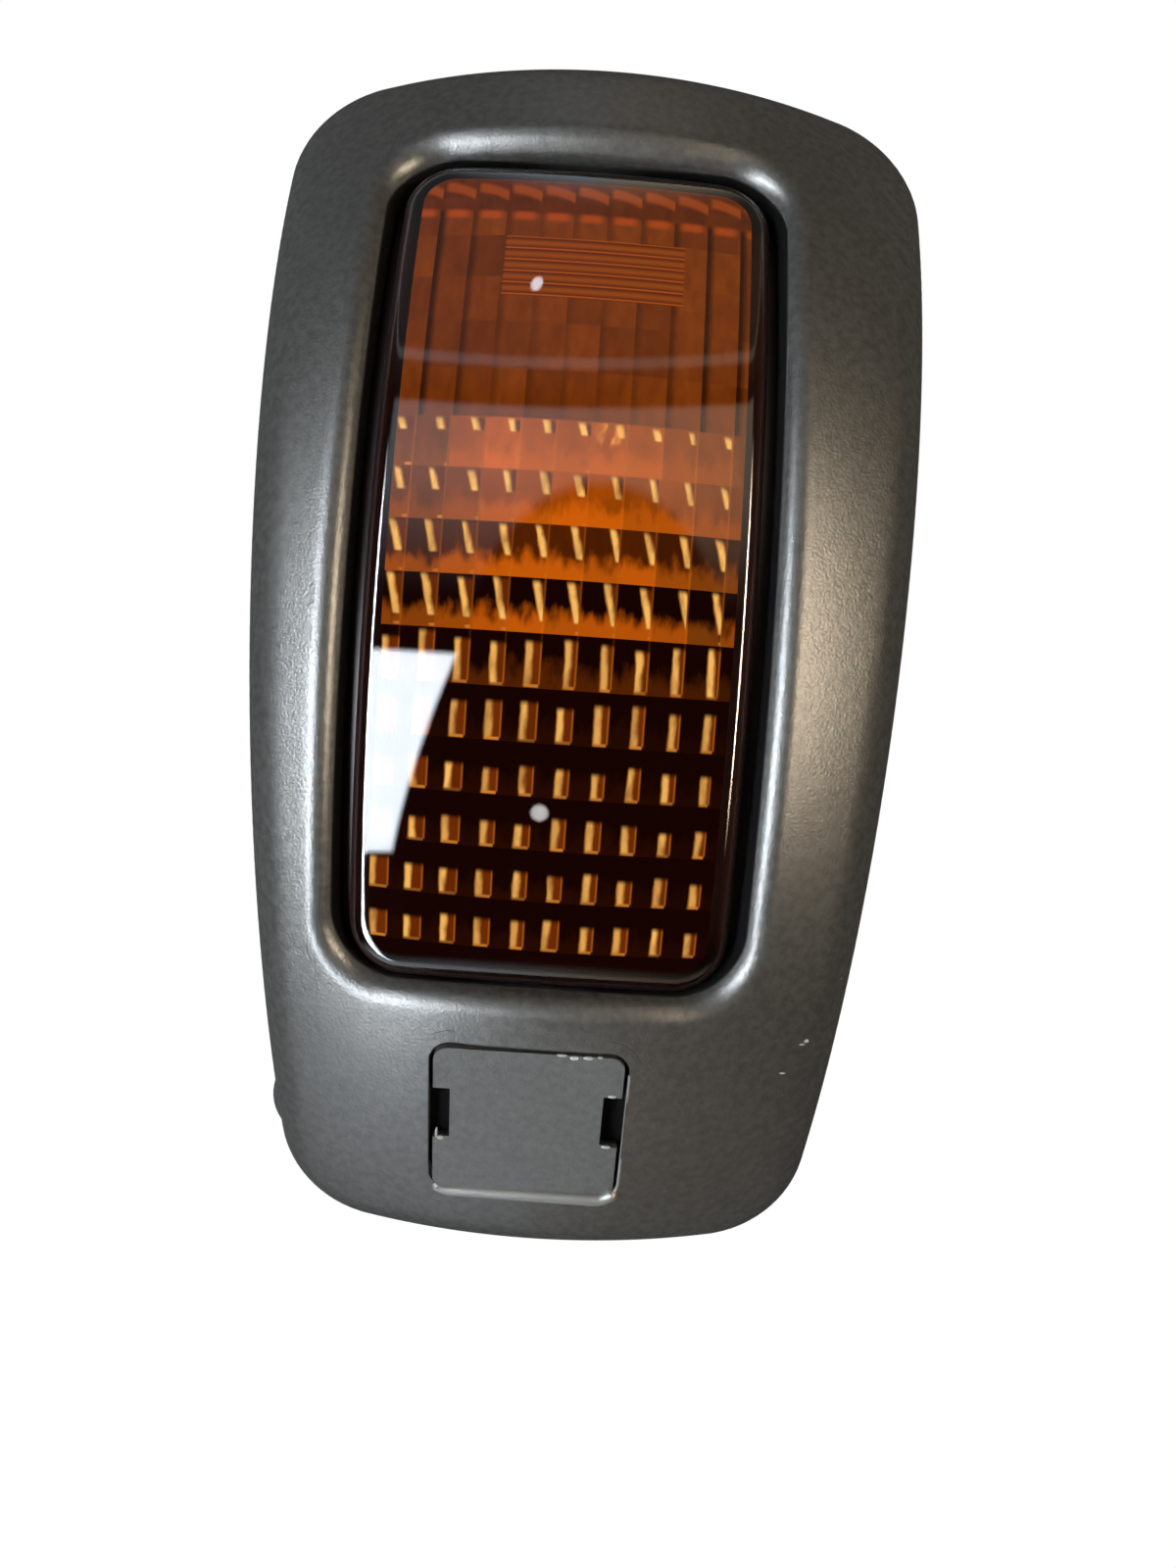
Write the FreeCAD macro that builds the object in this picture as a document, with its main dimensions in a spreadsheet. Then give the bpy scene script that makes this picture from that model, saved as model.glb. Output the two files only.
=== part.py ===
import FreeCAD, Part
import math
import os
import re
import Sketcher

# Truck door lamp. X runs to the right seen from the front, Z up, and the front faces -Y.
# The origin lies on the mounting plane Y = 0, on the door's side of the gasket.
# Depths are counted from that plane towards the front.

SIZES = {
    # outline of the cover at its rear edge: a quadrangle with four bowed sides
    "cover_top_half": 46.4,
    "cover_bottom_half": 37.6,
    "cover_top": 80.5,
    "cover_bottom": 81.6,
    "cover_end_radius": 300.0,
    "cover_side_radius": 1500.0,
    "cover_top_corner": 16.0,
    "cover_bottom_corner": 15.5,
    "cover_draft": 4.0,
    "cover_wall": 2.6,
    "shoulder_radius": 9.0,
    # bowed front face: a barrel with its axis along X
    "front_depth": 45.0,
    "bow_radius": 142.0,
    "bow_centre": 1.5,
    "crown_radius": 95.0,
    # window in the cover, which the lens stands in
    "window_shift": -2.4,
    "window_half": 25.4,
    "window_top": 65.0,
    "window_bottom": 42.4,
    "window_end_radius": 400.0,
    "window_side_radius": 3000.0,
    "window_corner": 8.0,
    "window_lip": 3.0,
    "skirt_wall": 2.2,
    "skirt_depth": 7.0,
    # lens
    "lens_gap": 3.2,
    "lens_recess": 3.0,
    "lens_wall": 2.6,
    "lens_edge": 2.0,
    "flange_reach": 2.6,
    "flange_wall": 2.2,
    "cell_width": 4.4,
    "cell_rows": 10,
    "cell_columns": 10,
    "cell_pitch": 7.05,
    "cell_rise": 1.5,
    "cell_step": 1.1,
    "flute_rise": 0.9,
    "cell_top": 29.0,
    "rib_top": 50.0,
    "rib_length": 20.0,
    "rib_height": 0.9,
    "rib_rise": 1.7,
    "rib_pitch": 2.1,
    # seals
    "seal_width": 2.4,
    "seal_thick": 2.0,
    "gasket_thick": 2.5,
    "gasket_width": 4.4,
    "gasket_reach": 0.6,
    # rear body
    "plate_thick": 4.5,
    "plate_recess": 0.5,
    "chamber_wall": 2.4,
    "hook_width": 16.0,
    "hook_wall": 3.0,
    "hook_lip": 4.0,
    "door_grip": 2.5,
    # reflector
    "reflector_wall": 1.4,
    "bowl_bend": 30.6,
    "bowl_radius": 23.0,
    # bulb, with its axis along Y
    "bulb_height": 24.0,
    "bulb_tip": 29.0,
    "bulb_radius": 12.5,
    "bulb_neck": 6.6,
    "bulb_glass_wall": 0.7,
    "bulb_length": 52.0,
    "base_radius": 7.5,
    "base_length": 17.0,
    "base_wall": 0.6,
    "pin_radius": 1.0,
    "pin_reach": 1.1,
    "pin_height": 7.5,
    "filament_wire": 0.35,
    "filament_half": 3.4,
    # bulb holder
    "tunnel_radius": 15.0,
    "holder_flange": 19.0,
    "holder_flange_wall": 2.5,
    "holder_barrel": 12.5,
    "holder_floor": 3.0,
    "sleeve_wall": 0.6,
    "sleeve_lip": 10.4,
    "holder_seal_thick": 1.0,
    "blade_width": 6.3,
    "blade_wall": 0.8,
    "blade_length": 8.0,
    "blade_spread": 5.5,
    # screws
    "post_radius": 3.2,
    "cover_screw_radius": 1.5,
    "cover_screw_head": 2.9,
    "cover_screw_head_height": 2.0,
    "cover_screw_length": 9.0,
    "post_top_x": 20.0,
    "post_top_z": 74.8,
    "post_bottom_x": 24.0,
    "post_bottom_z": 60.0,
    "fixing_height": -62.8,
    "fixing_radius": 2.5,
    "fixing_waist": 2.0,
    "fixing_head": 4.6,
    "fixing_head_height": 3.6,
    "fixing_end": 12.0,
    "fixing_seat": 10.5,
    "seat_wall": 2.5,
    "tower_bore": 6.0,
    "tower_wall": 2.2,
    "washer_radius": 5.3,
    "washer_thick": 1.0,
    "screw_sleeve_wall": 1.2,
    # screw cap
    "cap_width": 24.6,
    "cap_height": 24.6,
    "cap_thick": 2.0,
    "cap_corner": 2.0,
    "cap_gap": 0.6,
    "cap_notch_width": 1.5,
    "cap_notch_height": 6.0,
    "cap_drop": 0.9,
    "cap_leg": 4.0,
    "cap_leg_width": 7.0,
    "cap_leg_wall": 1.3,
    "cap_leg_inset": 2.0,
    # fits
    "stem_drop": 7.50,
    "chamber_gap": 0.2,
    "plate_gap": 0.3,
    "cut_margin": 15.0,
    "clearance": 0.1,
    "bore_gap": 0.25,
}

# sizes that follow from the ones above
DERIVED = {
    "no_inset": "0 * cover_wall",
    "far_depth": "front_depth + cut_margin",
    "bow_axis": "bow_radius - front_depth",
    "skirt_inset": "0 - skirt_wall",
    "lens_inset": "lens_gap",
    "lens_inner_inset": "lens_gap + lens_wall",
    "flange_inset": "0 - flange_reach",
    "lens_inner_depth": "lens_recess + lens_wall",
    "flange_top": "skirt_depth + clearance",
    "flange_bottom": "flange_top + flange_wall",
    "seal_top": "flange_bottom + clearance",
    "seal_bottom": "seal_top + seal_thick",
    "rim_depth": "seal_bottom + clearance",
    "seal_outer_inset": "0 - flange_reach + clearance",
    "seal_inner_inset": "seal_outer_inset + seal_width",
    "chamber_outer_inset": "0 - flange_reach - chamber_gap",
    "chamber_inner_inset": "chamber_outer_inset + chamber_wall",
    "reflector_inset": "chamber_inner_inset + bore_gap",
    "reflector_inner_inset": "reflector_inset + reflector_wall",
    "reflector_rim": "rim_depth + clearance",
    "flange_plate_inset": "cover_wall + bore_gap + plate_gap",
    "plate_inset": "gasket_width + bore_gap",
    "plate_front": "plate_recess + plate_thick",
    "gasket_outer_inset": "0 - gasket_reach",
    "gasket_inner_inset": "gasket_width",
    "cap_tilt": "asin((bow_centre - fixing_height) / bow_radius) / 1 deg",
    "cap_face": "bow_radius - cap_drop",
    "cap_back": "cap_face - cap_thick",
    "cap_floor": "cap_back - clearance",
    "cap_leg_place": "cap_height / 2 - cap_leg_inset",
    "bulb_end": "bulb_tip - bulb_length",
    "bulb_centre": "bulb_tip - bulb_radius",
    "contact_thick": "pin_radius",
    "base_end": "bulb_end + 2 * contact_thick",
    "base_front": "base_end + base_length",
    "pin_depth": "bulb_end + pin_height",
    "neck_radius": "tunnel_radius - bore_gap",
    "flange_front": "plate_recess - holder_seal_thick",
    "flange_back": "flange_front - holder_flange_wall",
    "sleeve_inner": "base_radius + bore_gap",
    "sleeve_outer": "sleeve_inner + sleeve_wall",
    "holder_bore": "base_radius + pin_reach + bore_gap",
    "leaf_back": "bulb_end - clearance - blade_wall",
    "holder_end": "leaf_back - clearance - holder_floor",
    "reflector_back": "plate_front + clearance",
    "cells_half": "cell_width * cell_columns / 2",
    "cell_angle": "cell_pitch / bow_radius * 180 / pi",
    "optics_outer": "bow_radius - lens_recess - lens_wall / 2",
    "optics_inner": "bow_radius - lens_inner_depth",
    "screw_sink": "plate_recess + cover_screw_head_height + bore_gap",
    "sleeve_hole_radius": "fixing_radius + bore_gap + screw_sleeve_wall + clearance / 2",
    "hook_height": "window_top + hook_wall + 2 * bore_gap + flange_reach",
    "head_seat": "fixing_seat + washer_thick",
    "glass_end": "base_end + base_length / 2",
    "stem_radius": "bulb_neck - bulb_glass_wall - clearance",
    "stem_top": "bulb_centre - stem_drop",
    "neck_front": "reflector_back + reflector_wall",
    "sleeve_front": "flange_front + sleeve_wall",
    "sleeve_back": "pin_depth - 3 * pin_radius",
    "pin_play": "pin_radius + bore_gap",
    "blade_end": "holder_end - blade_length",
    "earth_front": "flange_front - holder_floor",
    "bowl_depth": "sqrt(bowl_bend * bowl_bend - tunnel_radius * tunnel_radius)"
                  " - sqrt(bowl_bend * bowl_bend - bowl_radius * bowl_radius)",
    "bowl_rim": "bulb_centre + reflector_wall",
    "bowl_centre": "bowl_rim + sqrt(bowl_bend * bowl_bend - bowl_radius * bowl_radius)",
    "cell_top_angle": "asin((cell_top - bow_centre) / bow_radius) / 1 deg - cell_angle / 2",
    "flute_start": "cell_top",
    "cell_inset": "lens_gap + lens_wall / 2",
    "optics_depth": "lens_recess + lens_wall / 2",
    "rib_back": "lens_inner_depth + rib_rise",
}

doc = FreeCAD.newDocument("truck_door_lamp")
sheet = doc.addObject("Spreadsheet::Sheet", "Sizes")
for row, (alias, number) in enumerate(SIZES.items(), start=1):
    sheet.set(f"A{row}", alias)
    sheet.set(f"B{row}", str(number))
    sheet.setAlias(f"B{row}", alias)
doc.recompute()

derived = doc.addObject("App::FeaturePython", "Derived")


def qualified(text):
    """The expression with each size named by the object that holds it."""
    def holder(match):
        word = match.group()
        if word in SIZES:
            return f"Sizes.{word}"
        if word in DERIVED:
            return f"Derived.{word}"
        return word
    return re.sub(r"[a-z][a-z_]*", holder, text)


def bind(thing, place, text):
    """Tie a property or constraint to an expression of named sizes."""
    thing.setExpression(place, qualified(text))


for name, text in DERIVED.items():
    derived.addProperty("App::PropertyFloat", name)
    bind(derived, name, text)
doc.recompute()


probe = doc.addObject("App::FeaturePython", "Probe")
probe.addProperty("App::PropertyFloat", "answer")


def size(text):
    """The value of an expression of named sizes, as a plain number."""
    bind(probe, "answer", text)
    probe.recompute()
    return probe.answer


def plane(body, role):
    return [f for f in body.Origin.OriginFeatures if f.Role == role][0]


def new_body(name):
    return doc.addObject("PartDesign::Body", name)


def new_sketch(body, name, role, shift=None, rise=None, lift=None):
    """A sketch on one of the body's planes, moved along the plane's own axes by named sizes."""
    sketch = body.newObject("Sketcher::SketchObject", name)
    sketch.AttachmentSupport = [(plane(body, role), "")]
    sketch.MapMode = "FlatFace"
    for axis, text in (("x", shift), ("y", rise), ("z", lift)):
        if text:
            bind(sketch, f"AttachmentOffset.Base.{axis}", text)
    return sketch


def hold(sketch, kind, *where, text=None, number=None):
    """Add a constraint, tied to an expression where it has a size."""
    if text is None:
        return sketch.addConstraint(Sketcher.Constraint(kind, *where))
    index = sketch.addConstraint(Sketcher.Constraint(kind, *where, number))
    bind(sketch, f"Constraints[{index}]", text)
    return index


# the two outlines that the mouldings follow
COVER = {"key": "cover", "shift": None}
WINDOW = {"key": "window", "shift": "window_shift"}


def arc_between(start, end, radius):
    """A counter-clockwise arc from start to end that bulges outwards."""
    chord = end - start
    middle = (start + end) * 0.5
    rise = math.sqrt(radius ** 2 - (chord.Length / 2) ** 2)
    normal = FreeCAD.Vector(-chord.y, chord.x, 0).normalize()
    centre = middle + normal * rise
    first = math.atan2(start.y - centre.y, start.x - centre.x)
    last = math.atan2(end.y - centre.y, end.x - centre.x)
    circle = Part.Circle(centre, FreeCAD.Vector(0, 0, 1), radius)
    return Part.ArcOfCircle(circle, first, last)


def outline(body, name, family, inset, lift):
    """Four bowed sides, symmetric about the sketch's vertical axis, set in from the family's outline."""
    key = family["key"]
    names = [f"{key}_{end}" for end in ("top_half", "bottom_half", "top", "bottom")]
    if key == "window":
        names[0] = names[1] = "window_half"
    top_half, bottom_half, top, bottom = [size(n) - size(inset) for n in names]
    end_radius, side_radius = [size(f"{key}_{n}_radius") - size(inset) for n in ("end", "side")]
    sketch = new_sketch(body, name, "XZ_Plane", shift=family["shift"], lift=lift)
    corners = [FreeCAD.Vector(x, z, 0) for x, z in (
        (top_half, top), (-top_half, top), (-bottom_half, -bottom), (bottom_half, -bottom))]
    for index, radius in enumerate((end_radius, side_radius, end_radius, side_radius)):
        sketch.addGeometry(arc_between(corners[index], corners[(index + 1) % 4], radius))
    for index in range(4):
        hold(sketch, "Coincident", index, 2, (index + 1) % 4, 1)
    hold(sketch, "Symmetric", 0, 1, 0, 2, -2)
    hold(sketch, "Symmetric", 2, 1, 2, 2, -2)
    hold(sketch, "DistanceX", -1, 1, 0, 1, text=f"{names[0]} - {inset}", number=top_half)
    hold(sketch, "DistanceX", -1, 1, 2, 2, text=f"{names[1]} - {inset}", number=bottom_half)
    hold(sketch, "DistanceY", -1, 1, 0, 1, text=f"{names[2]} - {inset}", number=top)
    hold(sketch, "DistanceY", 2, 2, -1, 1, text=f"{names[3]} - {inset}", number=bottom)
    hold(sketch, "Radius", 0, text=f"{key}_end_radius - {inset}", number=end_radius)
    hold(sketch, "Radius", 2, text=f"{key}_end_radius - {inset}", number=end_radius)
    hold(sketch, "Radius", 1, text=f"{key}_side_radius - {inset}", number=side_radius)
    hold(sketch, "Equal", 1, 3)
    return sketch


def pad(body, name, sketch, length, draft=None):
    feature = body.newObject("PartDesign::Pad", name)
    feature.Profile = sketch
    bind(feature, "Length", length)
    if draft:
        bind(feature, "TaperAngle", f"0 - {draft}")
    doc.recompute()
    return feature


def round_edges(body, name, base, chosen, radius):
    """Round the edges of the base feature that the test picks."""
    picked = [f"Edge{i}" for i, edge in enumerate(base.Shape.Edges, start=1) if chosen(edge)]
    feature = body.newObject("PartDesign::Fillet", name)
    feature.Base = (base, picked)
    bind(feature, "Radius", radius)
    doc.recompute()
    return feature


def along_depth(edge):
    """True for an edge that runs from back to front."""
    ends = [v.Point for v in edge.Vertexes]
    if len(ends) < 2:
        return False
    span = ends[1] - ends[0]
    return abs(span.y) > 5 * math.hypot(span.x, span.z)


def prism(body, family, inset, start, length, draft=None, tag=""):
    """An outline padded towards the front with rounded corners."""
    sketch = outline(body, f"{body.Name}_outline{tag}", family, inset, start)
    feature = pad(body, f"{body.Name}_pad{tag}", sketch, length, draft)
    key = family["key"]
    if key == "window":
        return round_edges(body, f"{body.Name}_corners{tag}", feature, along_depth,
                f"window_corner - {inset}")
    for end, side in (("top", 1), ("bottom", -1)):
        feature = round_edges(
            body, f"{body.Name}_{end}_corners{tag}", feature,
            lambda edge: along_depth(edge) and edge.CenterOfMass.z * side > size("cover_bottom") / 2,
            f"cover_{end}_corner - {inset}")
    return feature


def bow_cut(body, name, depth, keep):
    """Cut along the bowed face that lies a depth below the front, and keep the back or the front of it."""
    sketch = new_sketch(body, f"{name}_profile", "XY_Plane", rise="bow_axis", lift="bow_centre")
    half = size("cover_top_half + cut_margin")
    radius = size("bow_radius") - size(depth)
    crown = size("crown_radius") - size(depth)
    fall = crown - math.sqrt(crown ** 2 - half ** 2)
    reach = f"bow_radius - {depth} + front_depth + 2 * cut_margin"
    far = 0.0 if keep == "front" else size(reach)
    centre = FreeCAD.Vector(0, radius - crown, 0)
    angle = math.asin(half / crown)
    circle = Part.Circle(centre, FreeCAD.Vector(0, 0, 1), crown)
    arc = Part.ArcOfCircle(circle, math.pi / 2 - angle, math.pi / 2 + angle)
    left, right = FreeCAD.Vector(-half, radius - fall, 0), FreeCAD.Vector(half, radius - fall, 0)
    far_left, far_right = FreeCAD.Vector(-half, far, 0), FreeCAD.Vector(half, far, 0)
    sketch.addGeometry(arc)
    for start, end in ((left, far_left), (far_left, far_right), (far_right, right)):
        sketch.addGeometry(Part.LineSegment(start, end))
    hold(sketch, "Coincident", 0, 2, 1, 1)
    hold(sketch, "Coincident", 1, 2, 2, 1)
    hold(sketch, "Coincident", 2, 2, 3, 1)
    hold(sketch, "Coincident", 3, 2, 0, 1)
    hold(sketch, "Vertical", 1)
    hold(sketch, "Vertical", 3)
    hold(sketch, "Horizontal", 2)
    hold(sketch, "PointOnObject", 0, 3, -2)
    hold(sketch, "DistanceX", -1, 1, 0, 1, text="cover_top_half + cut_margin", number=half)
    hold(sketch, "Radius", 0, text=f"crown_radius - {depth}", number=crown)
    hold(sketch, "DistanceY", -1, 1, 0, 3, text="bow_radius - crown_radius", number=radius - crown)
    if keep == "front":
        hold(sketch, "PointOnObject", 1, 2, -1)
    else:
        hold(sketch, "DistanceY", -1, 1, 1, 2, text=reach, number=far)
    before = body.Tip.Shape.Volume
    groove = body.newObject("PartDesign::Groove", name)
    groove.Profile = sketch
    groove.ReferenceAxis = (sketch, ["H_Axis"])
    groove.Angle = 360.0
    doc.recompute()
    if groove.Shape.Volume >= before:
        raise RuntimeError(f"{name} cut nothing")
    return groove


def combine(kind, name, base, *tools):
    """Cut tools from a base, or join them to it."""
    tool = tools[0]
    if len(tools) > 1:
        tool = doc.addObject("Part::MultiFuse", f"{name}_tools")
        tool.Shapes = list(tools)
    thing = doc.addObject(f"Part::{kind}", name)
    thing.Base = base
    thing.Tool = tool
    doc.recompute()
    return thing


def rod(name, radius, start, length, shift="no_inset", height="no_inset"):
    """A cylinder along Y from a depth towards the front."""
    thing = doc.addObject("Part::Cylinder", name)
    thing.Placement.Rotation = FreeCAD.Rotation(FreeCAD.Vector(1, 0, 0), 90)
    bind(thing, "Radius", radius)
    bind(thing, "Height", length)
    bind(thing, "Placement.Base.x", shift)
    bind(thing, "Placement.Base.y", f"0 - ({start})")
    bind(thing, "Placement.Base.z", height)
    doc.recompute()
    return thing



def block(name, across, deep, high):
    """A box given by its start and its length along X, in depth towards the front, and along Z."""
    thing = doc.addObject("Part::Box", name)
    bind(thing, "Length", across[1])
    bind(thing, "Width", deep[1])
    bind(thing, "Height", high[1])
    bind(thing, "Placement.Base.x", across[0])
    bind(thing, "Placement.Base.y", f"0 - ({deep[0]}) - ({deep[1]})")
    bind(thing, "Placement.Base.z", high[0])
    doc.recompute()
    return thing


def ball(name, radius, depth):
    """A sphere on the bulb's axis at a depth."""
    thing = doc.addObject("Part::Sphere", name)
    bind(thing, "Radius", radius)
    bind(thing, "Placement.Base.x", "window_shift")
    bind(thing, "Placement.Base.y", f"0 - ({depth})")
    bind(thing, "Placement.Base.z", "bulb_height")
    doc.recompute()
    return thing


def bulb_rod(name, radius, start, end):
    """A cylinder on the bulb's axis from one depth to another."""
    return rod(name, radius, start, f"({end}) - ({start})", "window_shift", "bulb_height")


def join(name, *things):
    """Several solids as one object."""
    thing = doc.addObject("Part::MultiFuse", name)
    thing.Shapes = list(things)
    doc.recompute()
    return thing


def polygon(sketch, points):
    """A closed outline of straight lines, each corner tied to its two expressions."""
    corners = [FreeCAD.Vector(size(x), size(y), 0) for x, y in points]
    count = len(corners)
    for index in range(count):
        sketch.addGeometry(Part.LineSegment(corners[index], corners[(index + 1) % count]))
    for index, (x, y) in enumerate(points):
        hold(sketch, "Coincident", index - 1 if index else count - 1, 2, index, 1)
        hold(sketch, "DistanceX", -1, 1, index, 1, text=x, number=corners[index].x)
        hold(sketch, "DistanceY", -1, 1, index, 1, text=y, number=corners[index].y)


def rectangle(sketch, width, height):
    """A rectangle centred on the sketch's origin."""
    signs = ((1, -1), (1, 1), (-1, 1), (-1, -1))
    polygon(sketch, [(f"{a} * ({width}) / 2", f"{b} * ({height}) / 2") for a, b in signs])


def on_barrel(body, angle=None):
    """Move a body whose X axis is the barrel's axis to its place, turned down along the bow by an angle."""
    body.Placement = FreeCAD.Placement(FreeCAD.Vector(), FreeCAD.Rotation(FreeCAD.Vector(1, 0, 0), 0))
    if angle:
        body.Placement.Rotation = FreeCAD.Rotation(FreeCAD.Vector(1, 0, 0), size(angle))
        bind(body, "Placement.Rotation.Angle", angle)
    bind(body, "Placement.Base.y", "bow_axis")
    bind(body, "Placement.Base.z", "bow_centre")


def bowed_edges(feature):
    """A test for the edges round the bowed face of a feature."""
    faces = [f for f in feature.Shape.Faces if f.Surface.TypeId == "Part::GeomSurfaceOfRevolution"]
    bowed = max(faces, key=lambda f: f.Area)
    return lambda edge: any(edge.isSame(other) for other in bowed.Edges)


def window_rim(feature):
    """A test for the edges where the window meets the bowed face."""
    on_face = bowed_edges(feature)
    reach = size("window_half + window_corner")
    shift = size("window_shift")
    top, bottom = size("window_top + window_corner"), -size("window_bottom + window_corner")

    def chosen(edge):
        box = edge.BoundBox
        inside = box.XMin > shift - reach and box.XMax < shift + reach
        return on_face(edge) and inside and box.ZMax < top and box.ZMin > bottom
    return chosen


def cap_block(name, width, height, outer, inner, rise=None):
    """A block under the face at the fixing screw, between two distances from the barrel's axis."""
    body = new_body(name)
    sketch = new_sketch(body, f"{name}_outline", "XZ_Plane", shift="window_shift", rise=rise, lift=inner)
    rectangle(sketch, width, height)
    pad(body, f"{name}_pad", sketch, f"({outer}) - ({inner})")
    on_barrel(body, "cap_tilt")
    doc.recompute()
    return body


def cap_legs(name, grow):
    """The two snap legs of the screw cap, or with room round them the slots that they stand in."""
    return [cap_block(f"{name}_{end}", f"cap_leg_width + 2 * {grow}", f"cap_leg_wall + 2 * {grow}",
                      "cap_back + clearance", f"cap_back - cap_leg - {grow}", f"{sign} cap_leg_place")
            for end, sign in (("upper", ""), ("lower", "0 -"))]


# places of the four screws that hold the cover to the body
POSTS = {
    "top_left": ("window_shift - post_top_x", "post_top_z"),
    "top_right": ("window_shift + post_top_x", "post_top_z"),
    "bottom_left": ("0 - post_bottom_x", "0 - post_bottom_z"),
    "bottom_right": ("post_bottom_x", "0 - post_bottom_z"),
}


def fixing_rod(name, radius, start, end):
    """A cylinder on the fixing screw's axis from one depth to another."""
    return rod(name, radius, start, f"({end}) - ({start})", "window_shift", "fixing_height")


def cover_form():
    """The cover's outer form with its rounded shoulder and the lens window."""
    body = new_body("cover_form")
    prism(body, COVER, "no_inset", "gasket_thick", "far_depth", "cover_draft")
    face = bow_cut(body, "cover_face", "no_inset", "back")
    shoulder = round_edges(body, "cover_shoulder", face, bowed_edges(face), "shoulder_radius")
    sketch = outline(body, "window_outline", WINDOW, "no_inset", "no_inset")
    window = body.newObject("PartDesign::Pocket", "window")
    window.Profile = sketch
    window.Type = "ThroughAll"
    window.Midplane = True
    doc.recompute()
    if window.Shape.Volume >= shoulder.Shape.Volume:
        raise RuntimeError("the window cut nothing")
    reach = size("window_half + window_corner")
    shift = size("window_shift")
    corners = round_edges(
        body, "window_corners", window,
        lambda edge: along_depth(edge) and abs(edge.CenterOfMass.x - shift) < reach, "window_corner")
    round_edges(body, "window_lip_round", corners, window_rim(corners), "window_lip")
    return body


def front_cover():
    """Grained grey moulding: bowed shell, skirt round the window, cap recess, screw tower and posts."""
    form = cover_form()
    hollow = new_body("cover_hollow")
    prism(hollow, COVER, "cover_wall", "no_inset", "far_depth", "cover_draft")
    face = bow_cut(hollow, "hollow_face", "cover_wall", "back")
    round_edges(hollow, "hollow_shoulder", face, bowed_edges(face), "shoulder_radius - cover_wall")
    skirt = new_body("skirt")
    prism(skirt, WINDOW, "skirt_inset", "no_inset", "far_depth")
    bow_cut(skirt, "skirt_edge", "skirt_depth", "front")
    tower = fixing_rod("tower", "tower_bore + tower_wall", "fixing_seat - seat_wall", "front_depth")
    cup = cap_block("cap_cup", "cap_width + 2 * cap_gap + 2 * tower_wall",
                    "cap_height + 2 * cap_gap + 2 * tower_wall", "bow_radius", "cap_floor - seat_wall")
    posts = [rod(f"post_{n}", "post_radius", "plate_front", "front_depth", x, z) for n, (x,
            z) in POSTS.items()]
    hollow_tool = combine("Cut", "hollow_tool", hollow, skirt, tower, cup, *posts)
    recess = cap_block("cap_recess", "cap_width + 2 * cap_gap", "cap_height + 2 * cap_gap",
                       "bow_radius + cap_width", "cap_floor")
    bore = fixing_rod("tower_hole", "tower_bore", "fixing_seat", "front_depth")
    hole = fixing_rod("screw_hole", "fixing_radius + bore_gap", "0 - fixing_end", "front_depth")
    pilots = [rod(f"pilot_{n}", "cover_screw_radius + clearance", "no_inset",
            "plate_front + cover_screw_length", x, z)
              for n, (x, z) in POSTS.items()]
    return combine("Cut", "front_cover", form, hollow_tool, recess, bore, hole, *pilots,
                   *cap_legs("leg_slot", "bore_gap"))


def screw_cap():
    """Flat plate over the fixing screw, with a pry notch at each side and two snap legs."""
    plate = new_body("cap_plate")
    sketch = new_sketch(plate, "cap_outline", "XZ_Plane", shift="window_shift", lift="cap_back")
    rectangle(sketch, "cap_width", "cap_height")
    feature = pad(plate, "cap_pad", sketch, "cap_thick")
    round_edges(plate, "cap_corners", feature, along_depth, "cap_corner")
    on_barrel(plate, "cap_tilt")
    notches = []
    for side, sign in (("left", "0 -"), ("right", "")):
        body = new_body(f"cap_notch_{side}")
        sketch = new_sketch(body, f"cap_notch_{side}_outline", "XZ_Plane",
                            shift=f"window_shift + ({sign} cap_width / 2)", lift="cap_floor")
        rectangle(sketch, "2 * cap_notch_width", "cap_notch_height")
        pad(body, f"cap_notch_{side}_pad", sketch, "2 * cap_thick")
        on_barrel(body, "cap_tilt")
        notches.append(body)
    whole = join("cap_with_legs", plate, *cap_legs("cap_leg_solid", "no_inset"))
    return combine("Cut", "screw_cap", whole, *notches)


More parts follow.
